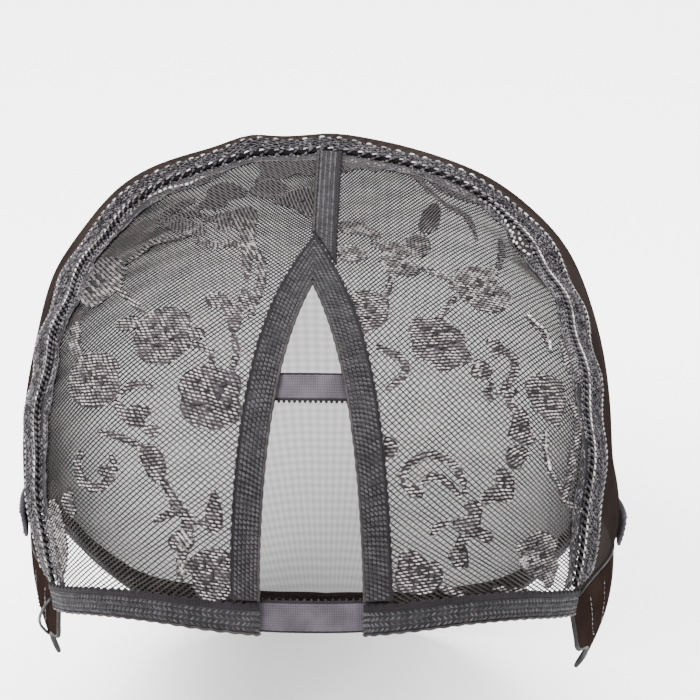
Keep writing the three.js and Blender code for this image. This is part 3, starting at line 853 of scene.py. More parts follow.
def netPaths(chart, outline, family):
    own, other = chart.reading(outline, family), chart.reading(outline, 1 - family)
    offsets = np.arange(own.min(), own.max(), lace["spacing"])[:, None]
    t = np.arange(other.min(), other.max() + lace["step"], lace["step"])[None]
    wanted = offsets + 0.12 * np.sin(t * 0.31 + offsets * 0.7), t + 0 * offsets
    flat, found = chart.placeOf(*wanted) if family == 0 else chart.placeOf(*wanted[::-1])
    keep = found & insideOutline(flat[..., 0], flat[..., 1], outline)
    point, normal = onSkin(chart.direction(flat))
    point = point + normal * (lace["lift"] + (0.12 if family else -0.12))
    return [(point[i, a:b], normal[i, a:b]) for i in range(len(offsets)) for a, b in runsOf(keep[i])]


# Motifs of the lace, traced in pixels of the photo. Each starts with the slope of its rows in degrees.
blobs = [
    (22, [(108, 257), (118, 258), (124, 264), (125, 276), (120, 287), (112, 293), (104, 300), (95, 306), (86, 306),
          (80, 300), (80, 290), (84, 281), (91, 273), (96, 264), (101, 259)]),
    (6, [(152, 312), (160, 308), (172, 307), (184, 309), (190, 315), (190, 324), (188, 331), (191, 338), (188, 348),
         (180, 356), (170, 362), (158, 364), (147, 361), (140, 355), (135, 348), (134, 339), (137, 331), (139, 323),
         (145, 318)]),
    (4, [(82, 356), (92, 352), (104, 352), (114, 356), (119, 364), (118, 374), (120, 384), (117, 394), (109, 402),
         (98, 406), (86, 406), (76, 401), (71, 392), (70, 381), (72, 370), (76, 362)]),
    (-5, [(186, 372), (198, 367), (211, 366), (222, 369), (232, 372), (240, 378), (241, 388), (238, 398),
          (242, 408), (238, 418), (228, 425), (216, 429), (203, 428), (192, 424), (184, 416), (180, 406),
          (182, 396), (178, 388), (181, 379)]),
    (0, [(194, 556), (202, 550), (214, 548), (224, 550), (230, 556), (232, 568), (232, 582), (230, 595), (220, 600),
         (208, 601), (198, 596), (193, 586), (192, 572)]),
    (12, [(141, 446), (150, 443), (158, 448), (164, 457), (166, 468), (163, 478), (156, 482), (149, 476),
          (144, 466), (140, 456)]),
    (0, [(214, 489), (219, 500), (222, 514), (221, 527), (214, 532), (206, 526), (205, 513), (209, 499)]),
    (25, [(208, 190), (218, 184), (228, 182), (240, 186), (248, 190), (245, 196), (232, 199), (226, 205),
          (218, 210), (205, 208), (196, 212), (200, 203), (207, 198)]),
    (5, [(232, 212), (242, 208), (252, 208), (258, 214), (257, 226), (255, 240), (252, 262), (247, 282), (243, 262),
         (243, 246), (240, 232), (234, 224)]),
    (0, [(290, 192), (302, 189), (314, 190), (316, 205), (312, 218), (300, 212), (288, 206), (276, 203),
         (282, 196)]),
    (28, [(150, 190), (165, 182), (185, 172), (205, 164), (228, 156), (250, 148), (280, 143), (318, 141),
          (318, 172), (306, 175), (298, 173), (286, 178), (270, 180), (256, 182), (262, 172), (257, 163),
          (242, 162), (229, 170), (214, 179), (200, 185), (182, 190), (166, 195), (152, 203)]),
    (18, [(250, 191), (258, 184), (272, 180), (285, 184), (286, 191), (276, 196), (262, 197)]),
    (8, [(206, 298), (214, 293), (226, 295), (232, 302), (240, 308), (242, 318), (238, 330), (230, 330), (227, 318),
         (222, 308), (210, 306)]),
    (-14, [(459, 270), (470, 268), (484, 268), (496, 271), (498, 279), (497, 286), (506, 291), (511, 298),
           (509, 307), (500, 312), (490, 315), (483, 311), (476, 310), (468, 303), (460, 299), (458, 292),
           (450, 288), (452, 280)]),
    (-4, [(412, 323), (418, 318), (430, 320), (440, 318), (447, 322), (452, 326), (458, 331), (465, 336),
          (464, 343), (467, 350), (471, 357), (470, 363), (460, 366), (450, 370), (440, 371), (433, 366),
          (427, 361), (418, 360), (413, 352), (412, 340), (409, 331)]),
    (-6, [(350, 298), (362, 292), (370, 291), (378, 294), (386, 297), (389, 304), (388, 314), (386, 322),
          (380, 327), (372, 330), (362, 333), (352, 330)]),
    (-12, [(383, 257), (388, 252), (393, 250), (402, 249), (408, 254), (407, 259), (413, 263), (421, 269),
           (416, 275), (408, 277), (400, 275), (393, 280), (388, 274), (386, 267), (380, 262)]),
    (15, [(404, 244), (408, 238), (416, 235), (424, 235), (429, 240), (431, 247), (427, 254), (420, 258),
          (412, 256), (406, 251)]),
    (35, [(419, 230), (421, 220), (424, 212), (430, 206), (437, 204), (441, 211), (440, 222), (436, 231),
          (428, 234)]),
    (-5, [(341, 222), (352, 221), (363, 223), (370, 229), (380, 234), (378, 241), (366, 236), (352, 235),
          (342, 231)]),
    (-5, [(340, 248), (352, 246), (362, 250), (368, 257), (358, 262), (348, 262), (340, 258)]),
    (-28, [(322, 141), (350, 144), (380, 149), (410, 155), (440, 166), (462, 178), (482, 192), (488, 204),
           (470, 203), (455, 198), (440, 191), (428, 180), (415, 171), (402, 173), (388, 169), (376, 172),
           (362, 168), (345, 173), (330, 177), (322, 172)]),
    (40, [(50, 500), (59, 505), (65, 528), (68, 550), (64, 572), (56, 570), (50, 540)]),
    (2, [(530, 378), (540, 375), (550, 376), (556, 381), (563, 385), (563, 393), (565, 402), (563, 412),
         (560, 419), (558, 428), (551, 423), (545, 421), (540, 415), (533, 410), (530, 402), (527, 395),
         (524, 387), (528, 382)]),
    (10, [(513, 415), (520, 410), (526, 414), (528, 424), (530, 434), (535, 440), (528, 446), (520, 444),
          (512, 440), (507, 436), (510, 428)]),
    (18, [(507, 450), (516, 446), (526, 450), (528, 457), (522, 464), (518, 470), (510, 468), (505, 460)]),
    (-4, [(497, 470), (506, 470), (512, 476), (513, 488), (512, 498), (505, 503), (496, 502), (484, 505),
          (480, 499), (486, 490), (494, 487), (495, 478)]),
    (0, [(463, 505), (472, 501), (481, 506), (480, 516), (479, 524), (478, 532), (466, 532), (455, 530),
         (452, 521), (463, 517), (470, 514)]),
    (0, [(458, 536), (470, 533), (482, 530), (491, 534), (490, 542), (482, 543), (474, 537), (466, 543),
         (459, 548), (454, 556), (447, 556), (453, 548)]),
    (5, [(527, 538), (535, 533), (545, 533), (552, 537), (556, 544), (552, 550), (554, 558), (557, 566),
         (554, 574), (551, 584), (545, 588), (540, 580), (530, 576), (522, 571), (519, 564), (521, 557),
         (516, 552), (518, 545), (524, 542)]),
    (0, [(398, 556), (404, 551), (414, 551), (420, 555), (426, 561), (434, 562), (440, 568), (442, 576),
         (438, 586), (430, 592), (418, 594), (406, 592), (396, 588), (394, 575), (397, 565)]),
    (20, [(561, 338), (570, 336), (577, 345), (580, 360), (582, 378), (578, 386), (570, 378), (564, 364),
          (560, 350)]),
    (10, [(474, 360), (484, 363), (492, 370), (488, 380), (480, 378), (475, 370)]),
    (0, [(384, 438), (394, 440), (397, 450), (392, 458), (384, 454)]),
]
# slope, width, middle line
bands = [
    (-20, 6, [(118, 288), (130, 299), (146, 313)]), (25, 6, [(124, 264), (137, 255), (152, 243), (168, 235)]),
    (5, 10, [(82, 450), (77, 462), (80, 477), (91, 487), (103, 485), (111, 476), (115, 464), (111, 454)]),
    (10, 8, [(119, 394), (128, 386), (140, 382), (153, 387)]),
    (0, 11, [(117, 399), (121, 411), (131, 420), (147, 424)]),
    (8, 8, [(98, 430), (114, 434), (130, 440), (143, 447)]),
    (4, 14, [(161, 478), (169, 491), (178, 506), (189, 521), (184, 537), (182, 553), (179, 580)]),
    (0, 9, [(178, 508), (163, 516), (154, 520)]), (0, 7, [(192, 524), (202, 522), (212, 528)]),
    (0, 12, [(71, 488), (67, 501), (74, 514)]), (10, 13, [(78, 322), (74, 339), (80, 358)]),
    (0, 8, [(232, 372), (237, 352), (233, 332)]), (-6, 8, [(188, 345), (200, 344), (211, 352), (213, 366)]),
    (0, 10, [(252, 242), (262, 261), (262, 283), (255, 301), (250, 318)]),
    (25, 4, [(160, 242), (185, 236), (207, 220)]), (12, 7, [(165, 225), (180, 216), (196, 213), (208, 217)]),
    (-10, 7, [(208, 219), (222, 216), (236, 214)]), (-8, 7, [(196, 240), (214, 246), (230, 243), (246, 246)]),
    (20, 4, [(252, 192), (270, 197), (288, 196)]), (25, 8, [(196, 200), (180, 205), (166, 214), (158, 226)]),
    (0, 7, [(440, 319), (447, 307), (456, 298)]), (-20, 5, [(421, 269), (436, 274), (448, 279), (456, 283)]),
    (0, 7, [(391, 278), (389, 290), (384, 301)]), (-35, 6, [(398, 165), (412, 173), (426, 187), (440, 200)]),
    (-30, 6, [(440, 200), (452, 209), (464, 214), (472, 225), (477, 240)]),
    (0, 8, [(404, 250), (396, 246), (384, 248), (372, 244)]),
    (6, 9, [(403, 487), (401, 474), (408, 464), (420, 457), (433, 455), (446, 459), (455, 468), (462, 480),
            (464, 494)]),
    (0, 8, [(421, 484), (430, 476), (442, 479), (452, 488), (460, 499)]), (0, 13, [(404, 486), (413, 492), (422, 495)]),
    (0, 7, [(527, 317), (535, 325), (543, 331), (548, 342), (549, 353)]),
    (0, 6, [(543, 432), (544, 450), (548, 471)]), (10, 9, [(500, 240), (503, 254), (498, 270)]),
    (30, 6, [(516, 226), (513, 238), (518, 250), (527, 257), (536, 254), (538, 244)]),
    (-40, 4, [(480, 203), (492, 210), (503, 221), (509, 233), (512, 247)]),
    (15, 8, [(570, 404), (577, 420), (577, 440), (571, 454), (570, 471), (566, 488), (562, 505)]),
    (-10, 6, [(562, 500), (572, 508), (583, 513)]), (12, 10, [(486, 343), (497, 345), (502, 352), (492, 356)]),
    (6, 9, [(501, 349), (513, 358), (515, 372), (508, 385), (497, 396)]),
    (0, 7, [(516, 392), (505, 398), (512, 408), (520, 412)]), (0, 8, [(430, 536), (436, 527), (448, 521)]),
    (-10, 9, [(376, 346), (388, 352), (401, 358), (407, 369), (400, 380), (386, 390)]),
    (0, 5, [(546, 470), (556, 482), (561, 496)]), (0, 8, [(492, 384), (486, 394), (492, 402)]),
    (5, 10, [(440, 588), (452, 592), (466, 596)]), (5, 9, [(492, 588), (506, 592), (524, 590)]),
]
# slope, x, y, width, height, turn
ovals = [
    (0, 128, 323, 24, 13, 20), (0, 196, 333, 18, 12, 0), (0, 181, 540, 26, 20, 0), (0, 188, 566, 24, 16, 0),
    (-5, 184, 226, 46, 14, -14), (0, 224, 224, 16, 14, 0), (0, 138, 412, 26, 15, 10), (10, 152, 430, 14, 12, 0),
    (0, 527, 560, 14, 18, 0), (0, 104, 470, 12, 10, 0), (0, 245, 300, 12, 20, 0), (0, 458, 560, 18, 14, 70),
    (25, 470, 190, 26, 14, -35), (-25, 350, 160, 40, 16, -15), (0, 476, 372, 10, 14, 0),
]
# Slots between the lobes and in the middles, laid with dark marks of painted shade: x, y, turn, length
slits = [
    (95, 282, -48, 11), (101, 277, -48, 11), (92, 290, -40, 7), (108, 272, -50, 7),
    (152, 328, 50, 8), (157, 336, 30, 9), (158, 345, 0, 8), (166, 329, 80, 8), (172, 338, 20, 6), (147, 340, 90, 6),
    (85, 380, 90, 10), (91, 374, 90, 12), (97, 373, 90, 12), (103, 381, 80, 9), (92, 390, 90, 6),
    (204, 391, 20, 11), (219, 398, 70, 11), (198, 404, 0, 9), (211, 409, 0, 9), (223, 385, 20, 9), (196, 382, 30, 8),
    (229, 405, 60, 7), (204, 563, 90, 9), (212, 575, 90, 11), (220, 563, 90, 9), (205, 586, 90, 8),
    (476, 283, 40, 8), (482, 287, 50, 7), (487, 293, 60, 7), (492, 296, 20, 6), (470, 299, 20, 8), (466, 290, 0, 6),
    (426, 331, 10, 7), (435, 335, 60, 8), (441, 349, 0, 5), (447, 331, 30, 7), (453, 343, 0, 7), (431, 346, 0, 6),
    (366, 305, 80, 8), (374, 312, 20, 8), (368, 318, 0, 6), (398, 261, 30, 7), (405, 267, 60, 6),
    (541, 385, 80, 8), (546, 390, 0, 6), (536, 393, 0, 6), (546, 400, 60, 7), (552, 396, 0, 6), (549, 409, 0, 6),
    (536, 546, 80, 9), (542, 556, 0, 6), (530, 560, 30, 8), (537, 569, 20, 9), (527, 549, 0, 6),
    (408, 566, 90, 8), (418, 572, 90, 9), (427, 574, 90, 9), (412, 583, 90, 7), (433, 578, 80, 7),
    (240, 190, 10, 9), (245, 226, 80, 10), (300, 202, 10, 9), (520, 428, 90, 8), (503, 484, 90, 9), (516, 456, 20, 7),
]
# A pleat pushed up beside the tape, its inside a dark patch of painted shade, and bright stitched lines with their lift
shadedPleat = [(511, 224), (520, 217), (531, 225), (539, 240), (536, 252), (526, 256), (516, 249), (510, 236)]
beads = [
    (1.1, [(515, 224), (511, 237), (516, 250), (527, 258), (537, 254), (540, 242)]),
    (1.1, [(519, 230), (517, 240), (522, 249), (529, 251), (534, 244)]),
    (0.9, [(478, 202), (492, 210), (503, 221), (509, 233), (513, 247)]),
    (0.6, [(527, 317), (535, 325), (543, 331), (548, 342), (549, 353)]), (0.6, [(544, 434), (544, 450), (548, 471)]),
    (0.8, [(150, 199), (168, 190), (190, 186), (206, 178)]),
]
# A fold of the lace, a plain dark patch of painted shade
fold = [(447, 557), (455, 549), (463, 545), (467, 553), (467, 569), (458, 563), (450, 561)]
flowers = dict(lift=0.3, ground=0.05, cell=0.65, pitch=0.8, period=1.36, length=1.16, radius=0.24, slot=0.33,
               slotLift=0.25, cord=0.14, cordLift=0.2, slotGap=0.42)
# Pitch and half reach of the beads in pixels, the rest in millimetres
bead = dict(pitch=5.5, reach=1.5, length=1.15, radius=0.38)


def closedCurve(points, steps=4):
    p = np.array(points, float)
    a, b, c, d = np.roll(p, 1, 0), p, np.roll(p, -1, 0), np.roll(p, -2, 0)
    t = (np.arange(steps) / steps)[:, None, None]
    curve = b + 0.5 * t * (c - a + t * (2 * a - 5 * b + 4 * c - d + t * (3 * (b - c) + d - a)))
    return curve.transpose(1, 0, 2).reshape(-1, 2)


def bandLoop(points, width):
    p = np.array(points, float)
    reach = reachOf(p)
    t = np.linspace(0, reach[-1], int(reach[-1] / 2) + 2)
    line = placesAt(p, reach, t)
    line[1:-1] = (line[:-2] + 2 * line[1:-1] + line[2:]) / 4
    heading = unit(np.gradient(line, axis=0))
    share = np.clip(t / reach[-1], 0.04, 0.96)
    half = width / 2 * (0.82 + 0.18 * np.sin(t * 0.6 + p[0, 0])) * np.sin(np.pi * share) ** 0.3
    side = np.stack([-heading[:, 1], heading[:, 0]], -1) * half[:, None]
    return np.vstack([line + side, (line - side)[::-1]])


def ovalLoop(x, y, width, height, turned):
    t = np.linspace(0, 2 * np.pi, 24, endpoint=False)
    a, b = width / 2 * np.cos(t), height / 2 * np.sin(t) * (1 + 0.12 * np.cos(3 * t + x))
    c, s = math.cos(math.radians(turned)), math.sin(math.radians(turned))
    return np.stack([x + a * c + b * s, y - a * s + b * c], -1)


def motifLoops(hand):
    loops = [(slope, closedCurve(points)) for slope, points in blobs]
    loops += [(slope, bandLoop(points, width)) for slope, width, points in bands]
    loops += [(slope, ovalLoop(*rest)) for slope, *rest in ovals]
    return [(slope, loop) for slope, loop in loops if (loop[:, 0].mean() > photo["split"]) == (hand > 0)]


def slitEnds(hand, chart):
    rows = np.array([s for s in slits if (s[0] > photo["split"]) == (hand > 0)], float)
    reach = rows[:, 3:] / 2 * np.stack([np.cos(np.radians(rows[:, 2])), -np.sin(np.radians(rows[:, 2]))], -1)
    return [chart.flat(fromPicture(*(rows[:, :2] + k * reach).T)) for k in (-1, 1)]


# Short threads laid on the lace, from their middles and headings on the chart
def chartDashes(chart, middle, heading, length, lift, swell):
    steps = np.array([-0.5, -0.22, 0.22, 0.5])
    flat = middle[:, None] + heading[:, None] * steps[:, None] * np.asarray(length)[..., None, None]
    point, normal = onSkin(chart.direction(flat))
    point = point + normal * (lift + np.array([-0.2, 0, 0, -0.2]))[:, None]
    return list(zip(point, normal)), np.tile(np.array([0.35, 1, 1, 0.35]) * swell, len(middle))


# Cloth filling closed loops on the lace: square cells, their outer corners moved onto the loop
def addGround(name, loops, outline, chart, lift, material):
    cells, faces, offset, cell = [], [], 0, flowers["cell"]
    for flat in loops:
        low, high = flat.min(0), flat.max(0)
        sides = [np.arange(low[k] - cell, high[k] + 2 * cell, cell) for k in (0, 1)]
        grid = np.stack(np.meshgrid(*sides, indexing="ij"), -1)
        inside = insideOutline(grid[..., 0], grid[..., 1], flat)
        away = np.linalg.norm(grid[:, :, None] - flat, axis=-1)
        grid = np.where(inside[..., None], grid, flat[away.argmin(-1)])
        lies = insideOutline(grid[..., 0], grid[..., 1], outline)
        keep = (inside[:-1, :-1] | inside[1:, :-1] | inside[1:, 1:] | inside[:-1, 1:]) & lies[:-1, :-1] & lies[1:, 1:]
        number = np.arange(inside.size).reshape(inside.shape) + offset
        faces.append(np.stack([number[:-1, :-1], number[1:, :-1], number[1:, 1:], number[:-1, 1:]], -1)[keep])
        cells.append(grid.reshape(-1, 2))
        offset += inside.size
    used, corners = np.unique(np.concatenate(faces), return_inverse=True)
    point, normal = onSkin(chart.direction(np.concatenate(cells)[used]))
    return addObject(name, point + normal * lift, [corners.reshape(-1, 4)], material)


def onChart(loops, chart):
    return [chart.flat(fromPicture(loop[:, 0], loop[:, 1])) for loop in loops]


# Rows of short stitches filling a loop, left out at the slots of painted shade
def rowStitches(flat, slope, start, end, outline):
    a = math.radians(slope)
    u, v = np.array([math.cos(a), math.sin(a)]), np.array([-math.sin(a), math.cos(a)])
    along, across = flat @ u / flowers["period"], flat @ v / flowers["pitch"]
    i, k = np.meshgrid(np.arange(math.floor(along.min()), along.max() + 1),
                       np.arange(math.floor(across.min()), across.max() + 1))
    x = (i + 0.5 * (k % 2) + 0.1 * np.sin(k * 2.3 + i * 1.7)) * flowers["period"]
    y = (k + 0.1 * np.sin(i * 1.3 + k * 0.9 + slope)) * flowers["pitch"]
    where = (x[..., None] * u + y[..., None] * v).reshape(-1, 2)
    where = where[insideOutline(where[:, 0], where[:, 1], flat) & insideOutline(where[:, 0], where[:, 1], outline)]
    t = np.clip(((where[:, None] - start) * (end - start)).sum(-1) / ((end - start) ** 2).sum(-1), 0, 1)
    gap = np.linalg.norm(where[:, None] - start - t[..., None] * (end - start), axis=-1).min(1)
    where = where[gap > flowers["slotGap"]]
    tilt = a + 0.1 * np.sin(where[:, 0] * 0.7 + where[:, 1] * 0.9) - 0.12
    return where, np.stack([np.cos(tilt), np.sin(tilt)], -1)


def makeFlowers(hand, side, outline, chart):
    start, end = slitEnds(hand, chart)
    motifs = motifLoops(hand)
    flats = onChart([loop for slope, loop in motifs], chart)
    ground = addGround("laceGround" + side, flats, outline, chart, flowers["ground"], flowerGroundWithCrownShade)
    rows = [rowStitches(flat, slope, start, end, outline) for flat, (slope, loop) in zip(flats, motifs)]
    middle, heading = joinRows(rows)
    paths, radii = chartDashes(chart, middle, heading, np.full(len(middle), flowers["length"]), flowers["lift"],
                               flowers["radius"])
    stitch = addTubes("laceStitch" + side, paths, radii, flowerYarnWithCrownShade, 4)
    # Dark marks in the slots: painted shade
    paths, radii = chartDashes(chart, (start + end) / 2, unit(end - start), np.linalg.norm(end - start, axis=1),
                               flowers["slotLift"], flowers["slot"])
    slots = addTubes("laceSlotShade" + side, paths, radii, darkYarnAndShade, 5, 0.5)
    edges = []
    for flat in flats:
        rim = np.vstack([flat, flat[:1]])
        point, normal = onSkin(chart.direction(rim))
        keep = insideOutline(rim[:, 0], rim[:, 1], outline)
        edges += [(point[a:b] + normal[a:b] * flowers["cordLift"], normal[a:b]) for a, b in runsOf(keep)]
    cord = addTubes("laceOutline" + side, edges, flowers["cord"], outlineYarn, 3)
    details = [ground, stitch, slots, cord]
    # The fold and the pleat are filled with painted shade
    if hand > 0:
        for name, loop, lift in (("laceFoldShade", fold, 0.0), ("lacePleatShade", shadedPleat, 0.8)):
            details.append(addGround(name, onChart([closedCurve(loop)], chart), outline, chart, lift, paintedShadeCloth))
    beaded = []
    for lift, points in beads:
        if (points[0][0] > photo["split"]) != (hand > 0):
            continue
        p = np.array(points, float)
        reach = reachOf(p)
        t = np.arange(2, reach[-1], bead["pitch"])
        before, here, after = onChart([placesAt(p, reach, t + k * bead["reach"]) for k in (-1, 0, 1)], chart)
        beaded.append(chartDashes(chart, here, unit(after - before), np.full(len(here), bead["length"]), lift,
                                  bead["radius"]))
    if beaded:
        details.append(addTubes("laceBeads" + side, sum([b[0] for b in beaded], []),
                                np.concatenate([b[1] for b in beaded]), chainYarn, 5))
    print("lace", side, len(middle), "stitches")
    return details


# Where one thread family is pulled tight over the other: x, y, reach in pixels, and 1 for the threads rising right
pulls = [
    (150, 280, 70, 1), (120, 545, 70, 1), (205, 465, 45, 0), (240, 190, 60, -1), (70, 420, 50, 1),
    (410, 210, 80, 1), (450, 425, 60, 0), (490, 560, 80, -1), (530, 340, 40, 0.6),
]


def pullAt(points):
    seen = points - eye
    depth = -(seen @ viewBack)
    x = photo["middle"][0] + photo["focal"] * (seen @ viewRight) / depth
    y = photo["middle"][1] - photo["focal"] * (seen @ viewUp) / depth
    total, weight = 0 * x, 0 * x + 0.15
    for atX, atY, reach, strength in pulls:
        near = np.exp(-((x - atX) ** 2 + (y - atY) ** 2) / reach ** 2)
        total, weight = total + near * strength, weight + near
    return total / weight


def makeLace(hand, side):
    chart = LaceChart(hand)
    outline = chart.flat(laceOutline(hand))
    paths, radii = [], []
    for family in (0, 1):
        made = netPaths(chart, outline, family)
        pull = pullAt(np.concatenate([p for p, n in made])) * (1 if family == 0 else -1)
        paths += made
        radii.append(lace["radius"] * (1 + np.where(pull > 0, 0.28, 0.45) * pull))
    net = addTubes("laceNet" + side, paths, np.concatenate(radii), netYarn, 3)
    details = makeFlowers(hand, side, outline, chart)
    finishPiece(net, ["lace_" + side.lower()], details)
    print("lace", side, len(paths), "threads")


makeLace(-1, "Left")
makeLace(1, "Right")

# Folded lace selvage inside the seam tape: a dark fold, then a ruffled band with dashed rows
selvage = dict(low=4.7, high=11, fold=0.55, row=0.95, pitch=1.5, length=1.1, radius=0.24)


def makeSelvage():
    def direction(t, u):
        foot = seamFoot(6)
        distance = selvage["low"] + (selvage["high"] - selvage["low"]) * u
        return besideSeam(foot + (1 - foot) * fromMiddle(t), handOf(t), distance)

    patch = Patch(direction, 320, 6)

    def reach(x):
        share = 0.74 + 0.16 * np.sin(x * 0.15 + 0.7) + 0.06 * np.sin(x * 0.53) + 0.02 * np.sin(x * 1.9)
        return share * patch.width

    def edge(a, b):
        return a, b * reach(a * patch.length) / patch.width

    ground = wallObject("laceSelvageGround", patch, 420, 6, 0.0, 0.35, knitGround, edge)
    x = np.arange(0.6, patch.length - 0.6, selvage["pitch"])
    rows = []
    for k, y in enumerate(np.arange(selvage["fold"], patch.width, selvage["row"])):
        shifted = x + selvage["pitch"] / 2 * (k % 2) + 0.2 * np.sin(x * 2.1 + k)
        keep = (y < reach(shifted) - 0.3) & (np.sin(shifted * 0.052 + 0.9 * k + 1) > -0.75)
        kept = shifted[keep]
        rows.append((kept, 0 * kept + y, 0 * kept + (35 if k % 2 else -30)))
    stitches = addMarks("laceSelvageStitch", patch, *joinRows(rows), selvage["length"], selvage["radius"], 0.5,
                        selvageYarn)
    t = np.linspace(0, 1, 1000)
    rim = reach(t * patch.length) / patch.width
    cord = addTubes("laceSelvageEdge", [patch.at(t, rim, 0.35)], 0.26 + 0.1 * np.sin(t * 900), seamYarn, 5)
    finishPiece(ground, (), [stitches, cord])


makeSelvage()
print("selvage ready")

# Knit strips: rows of slanting ribs with holes between them drawn as dark marks of painted shade, a toothed selvage, a
# rolled edge and a groove of painted shade beside the selvage
knit = dict(low=0.4, inset=0.8, selvage=1.8, tooth=2.35, toothDepth=0.75, holeRadius=0.26, ribRadius=0.27, roll=0.42)


def knitStrip(name, patch, high, nodes, rows, pitch, lean, length, turns=False):
    w = patch.width
    steps = int(patch.length / 0.34)

    def depth(a):
        x = a * patch.length
        return knit["toothDepth"] * (1 - np.abs(np.sin(np.pi * x / knit["tooth"] + 0.5 * np.sin(x * 0.21)))) / w

    def edge(a, b):
        return a, b * (1 - depth(a))

    def band(a, b):
        inner = 1 - knit["selvage"] / w
        return a, inner + (1 - depth(a) - inner) * b

    cloth = wallObject(name + "Ground", patch, steps, 6, knit["low"], high - 0.1, knitCloth, edge)
    details = [wallObject(name + "Selvage", patch, steps, 4, high - 0.5, high + 0.15, selvageTape, band)]
    step = (w - knit["inset"] - knit["selvage"]) / rows
    x0 = np.arange(-w, patch.length + w, pitch)
    # The holes are dark marks of painted shade
    for part, shift, radius, lift, material, squash in [
        ("HoleShade", 0, knit["holeRadius"], 0.05, darkYarnAndShade, 0.5), ("Ribs", 0.5, knit["ribRadius"], 0.05, knitYarn, 1),
    ]:
        marks = []
        for k in range(rows):
            turned = lean * (-1 if turns and k % 2 else 1)
            y = knit["inset"] + step * (k + 0.5)
            slide = 0 if turns else pitch / 2 * (k % 2)
            x = x0 + pitch * shift + slide + 0.08 * np.sin(x0 * 2.7 + k)
            x = x[(x > 0.5) & (x < patch.length - 0.5)]
            marks.append((x, 0 * x + y + 0.05 * np.sin(x * 3.3), 0 * x + turned))
        details.append(addMarks(name + part, patch, *joinRows(marks), length, radius, high + lift - 0.08, material, 4,
                                squash))
    t = np.linspace(0, 1, int(patch.length / 0.5))
    wobble = 0.3 / w * (1 + 0.5 * np.sin(t * patch.length * 1.9))
    details.append(addTubes(name + "Roll", [patch.at(t, 0.01 + wobble, high - 0.25)], knit["roll"], rollYarn, 6))
    # Painted shade in the groove beside the selvage
    line = 1 - (knit["selvage"] + 0.1) / w
    details.append(addTubes(name + "GrooveShade", [patch.at(t, 0 * t + line, high - 0.02)], 0.2, darkYarnAndShade, 4))
    finishPiece(cloth, nodes, details)


def bindingDirection(t, u):
    foot = hemRise + hem["top"]
    inner, outer = lineAbove(besideOpening(0), foot), lineAbove(besideOpening(opening["binding"]), foot)
    share = fromMiddle(t)
    p = alongLine(inner, share) * (1 - u[..., None]) + alongLine(outer, share) * u[..., None]
    return frontDirection(p[..., 0] * handOf(t), p[..., 1])


def hemStripDirection(hand):
    def direction(t, u):
        start = math.degrees(math.atan2(opening["width"] / 2, form["front"]))
        level = hemDirection(hand * (start + (hem["end"] - start) * t), u * hem["width"])
        square = frontDirection(hand * opening["width"] / 2 + 0 * t, hemRise + u * hem["width"])
        share = ((1 - t) ** 8)[..., None]
        return unit(level * (1 - share) + square * share)
    return direction


def centreDirection(t, u):
    outer = besideOpening(opening["binding"])
    tip, side = outer[-1], outer[-2]
    lean = (tip[1] - side[1]) / side[0]
    along = np.linspace(1, 0.85, 90)
    edge = besideSeam(along, 1, centre["fromSeam"] + 0 * along)
    rise = np.degrees(np.arctan2(edge[:, 2], -edge[:, 1])) * frontScale
    across = centre["shift"] + centre["width"] * (u - 0.5)
    top = np.interp(across, edge[:, 0] * form["crown"], rise)
    foot = tip[1] - np.maximum(across, 0) * lean + centre["fromBinding"] * math.hypot(1, lean)
    return frontDirection(across, foot + (top - foot) * t)


knitStrip("openingBinding", Patch(bindingDirection, 160, 6), 1.6, ["opening_binding"],
          rows=6, pitch=1.16, lean=40, length=1.0)
for hand, side in ((-1, "Left"), (1, "Right")):
    knitStrip("hem" + side, Patch(hemStripDirection(hand), 60, 6), 1.6, ["hem_" + side.lower()],
              rows=4, pitch=1.3, lean=44 * hand, length=1.3, turns=True)
knitStrip("centreTape", Patch(centreDirection, 50, 6), 1.5, ["centre_tape"], rows=4,
          pitch=1.16, lean=40, length=1.0)
print("knit strips ready")

# Elastic straps across the opening and the band along the nape
straps = dict(upperRise=0.665, upperWidth=6.4, lowerWidth=7.8, rib=2.0, ribDepth=0.03, toothPitch=1.7,
              picotPitch=1.2)


def strapDirection(rise, width):
    def direction(t, u):
        level = rise + width * (u - 0.5)
        reach = openingHalf(level) + opening["binding"] / 2 - 0.2
        return frontDirection((2 * t - 1) * reach, level)
    return direction


def makeStrap(name, node, rise, width, toothSide):
    patch = Patch(strapDirection(rise, width), 24, 6)

    def ribs(x, y):
        return straps["ribDepth"] * np.sin(x * 2 * np.pi / straps["rib"])

    cloth = wallObject(name, patch, 220, 10, -1.0, -0.1, strapTape, None, ribs)
    y = patch.width if toothSide > 0 else 0
    x = np.arange(0.5, patch.length - 0.5, straps["toothPitch" if toothSide > 0 else "picotPitch"])
    point, normal = patch.atMm(x, np.full_like(x, y), -0.5)
    inner, n = patch.atMm(x, np.full_like(x, y - toothSide * 0.8), -0.5)
    heading = unit(point - inner)
    paths, radii = dashPaths(point + heading * 0.05, normal, heading, 1.1, 0.4)
    teeth = addTubes(name + "Picots", paths, radii, selvageTape if toothSide < 0 else darkYarnAndShade, 5, 0.6)
    t = np.linspace(0, 1, 60)
    edges = [patch.at(t, np.full_like(t, b), -0.4) for b in (0.03, 0.97)]
    cords = addTubes(name + "Edges", edges, 0.33, selvageTape, 6)
    finishPiece(cloth, [node], [teeth, cords])


makeStrap("strapUpper", "strap_upper", hemRise + opening["length"] * straps["upperRise"], straps["upperWidth"], -1)
makeStrap("strapLower", "strap_lower", hemRise + hem["width"] / 2, straps["lowerWidth"], 1)


nape = dict(start=75, width=8.0, rib=1.6, weave=1.1, stitchIn=1.0)


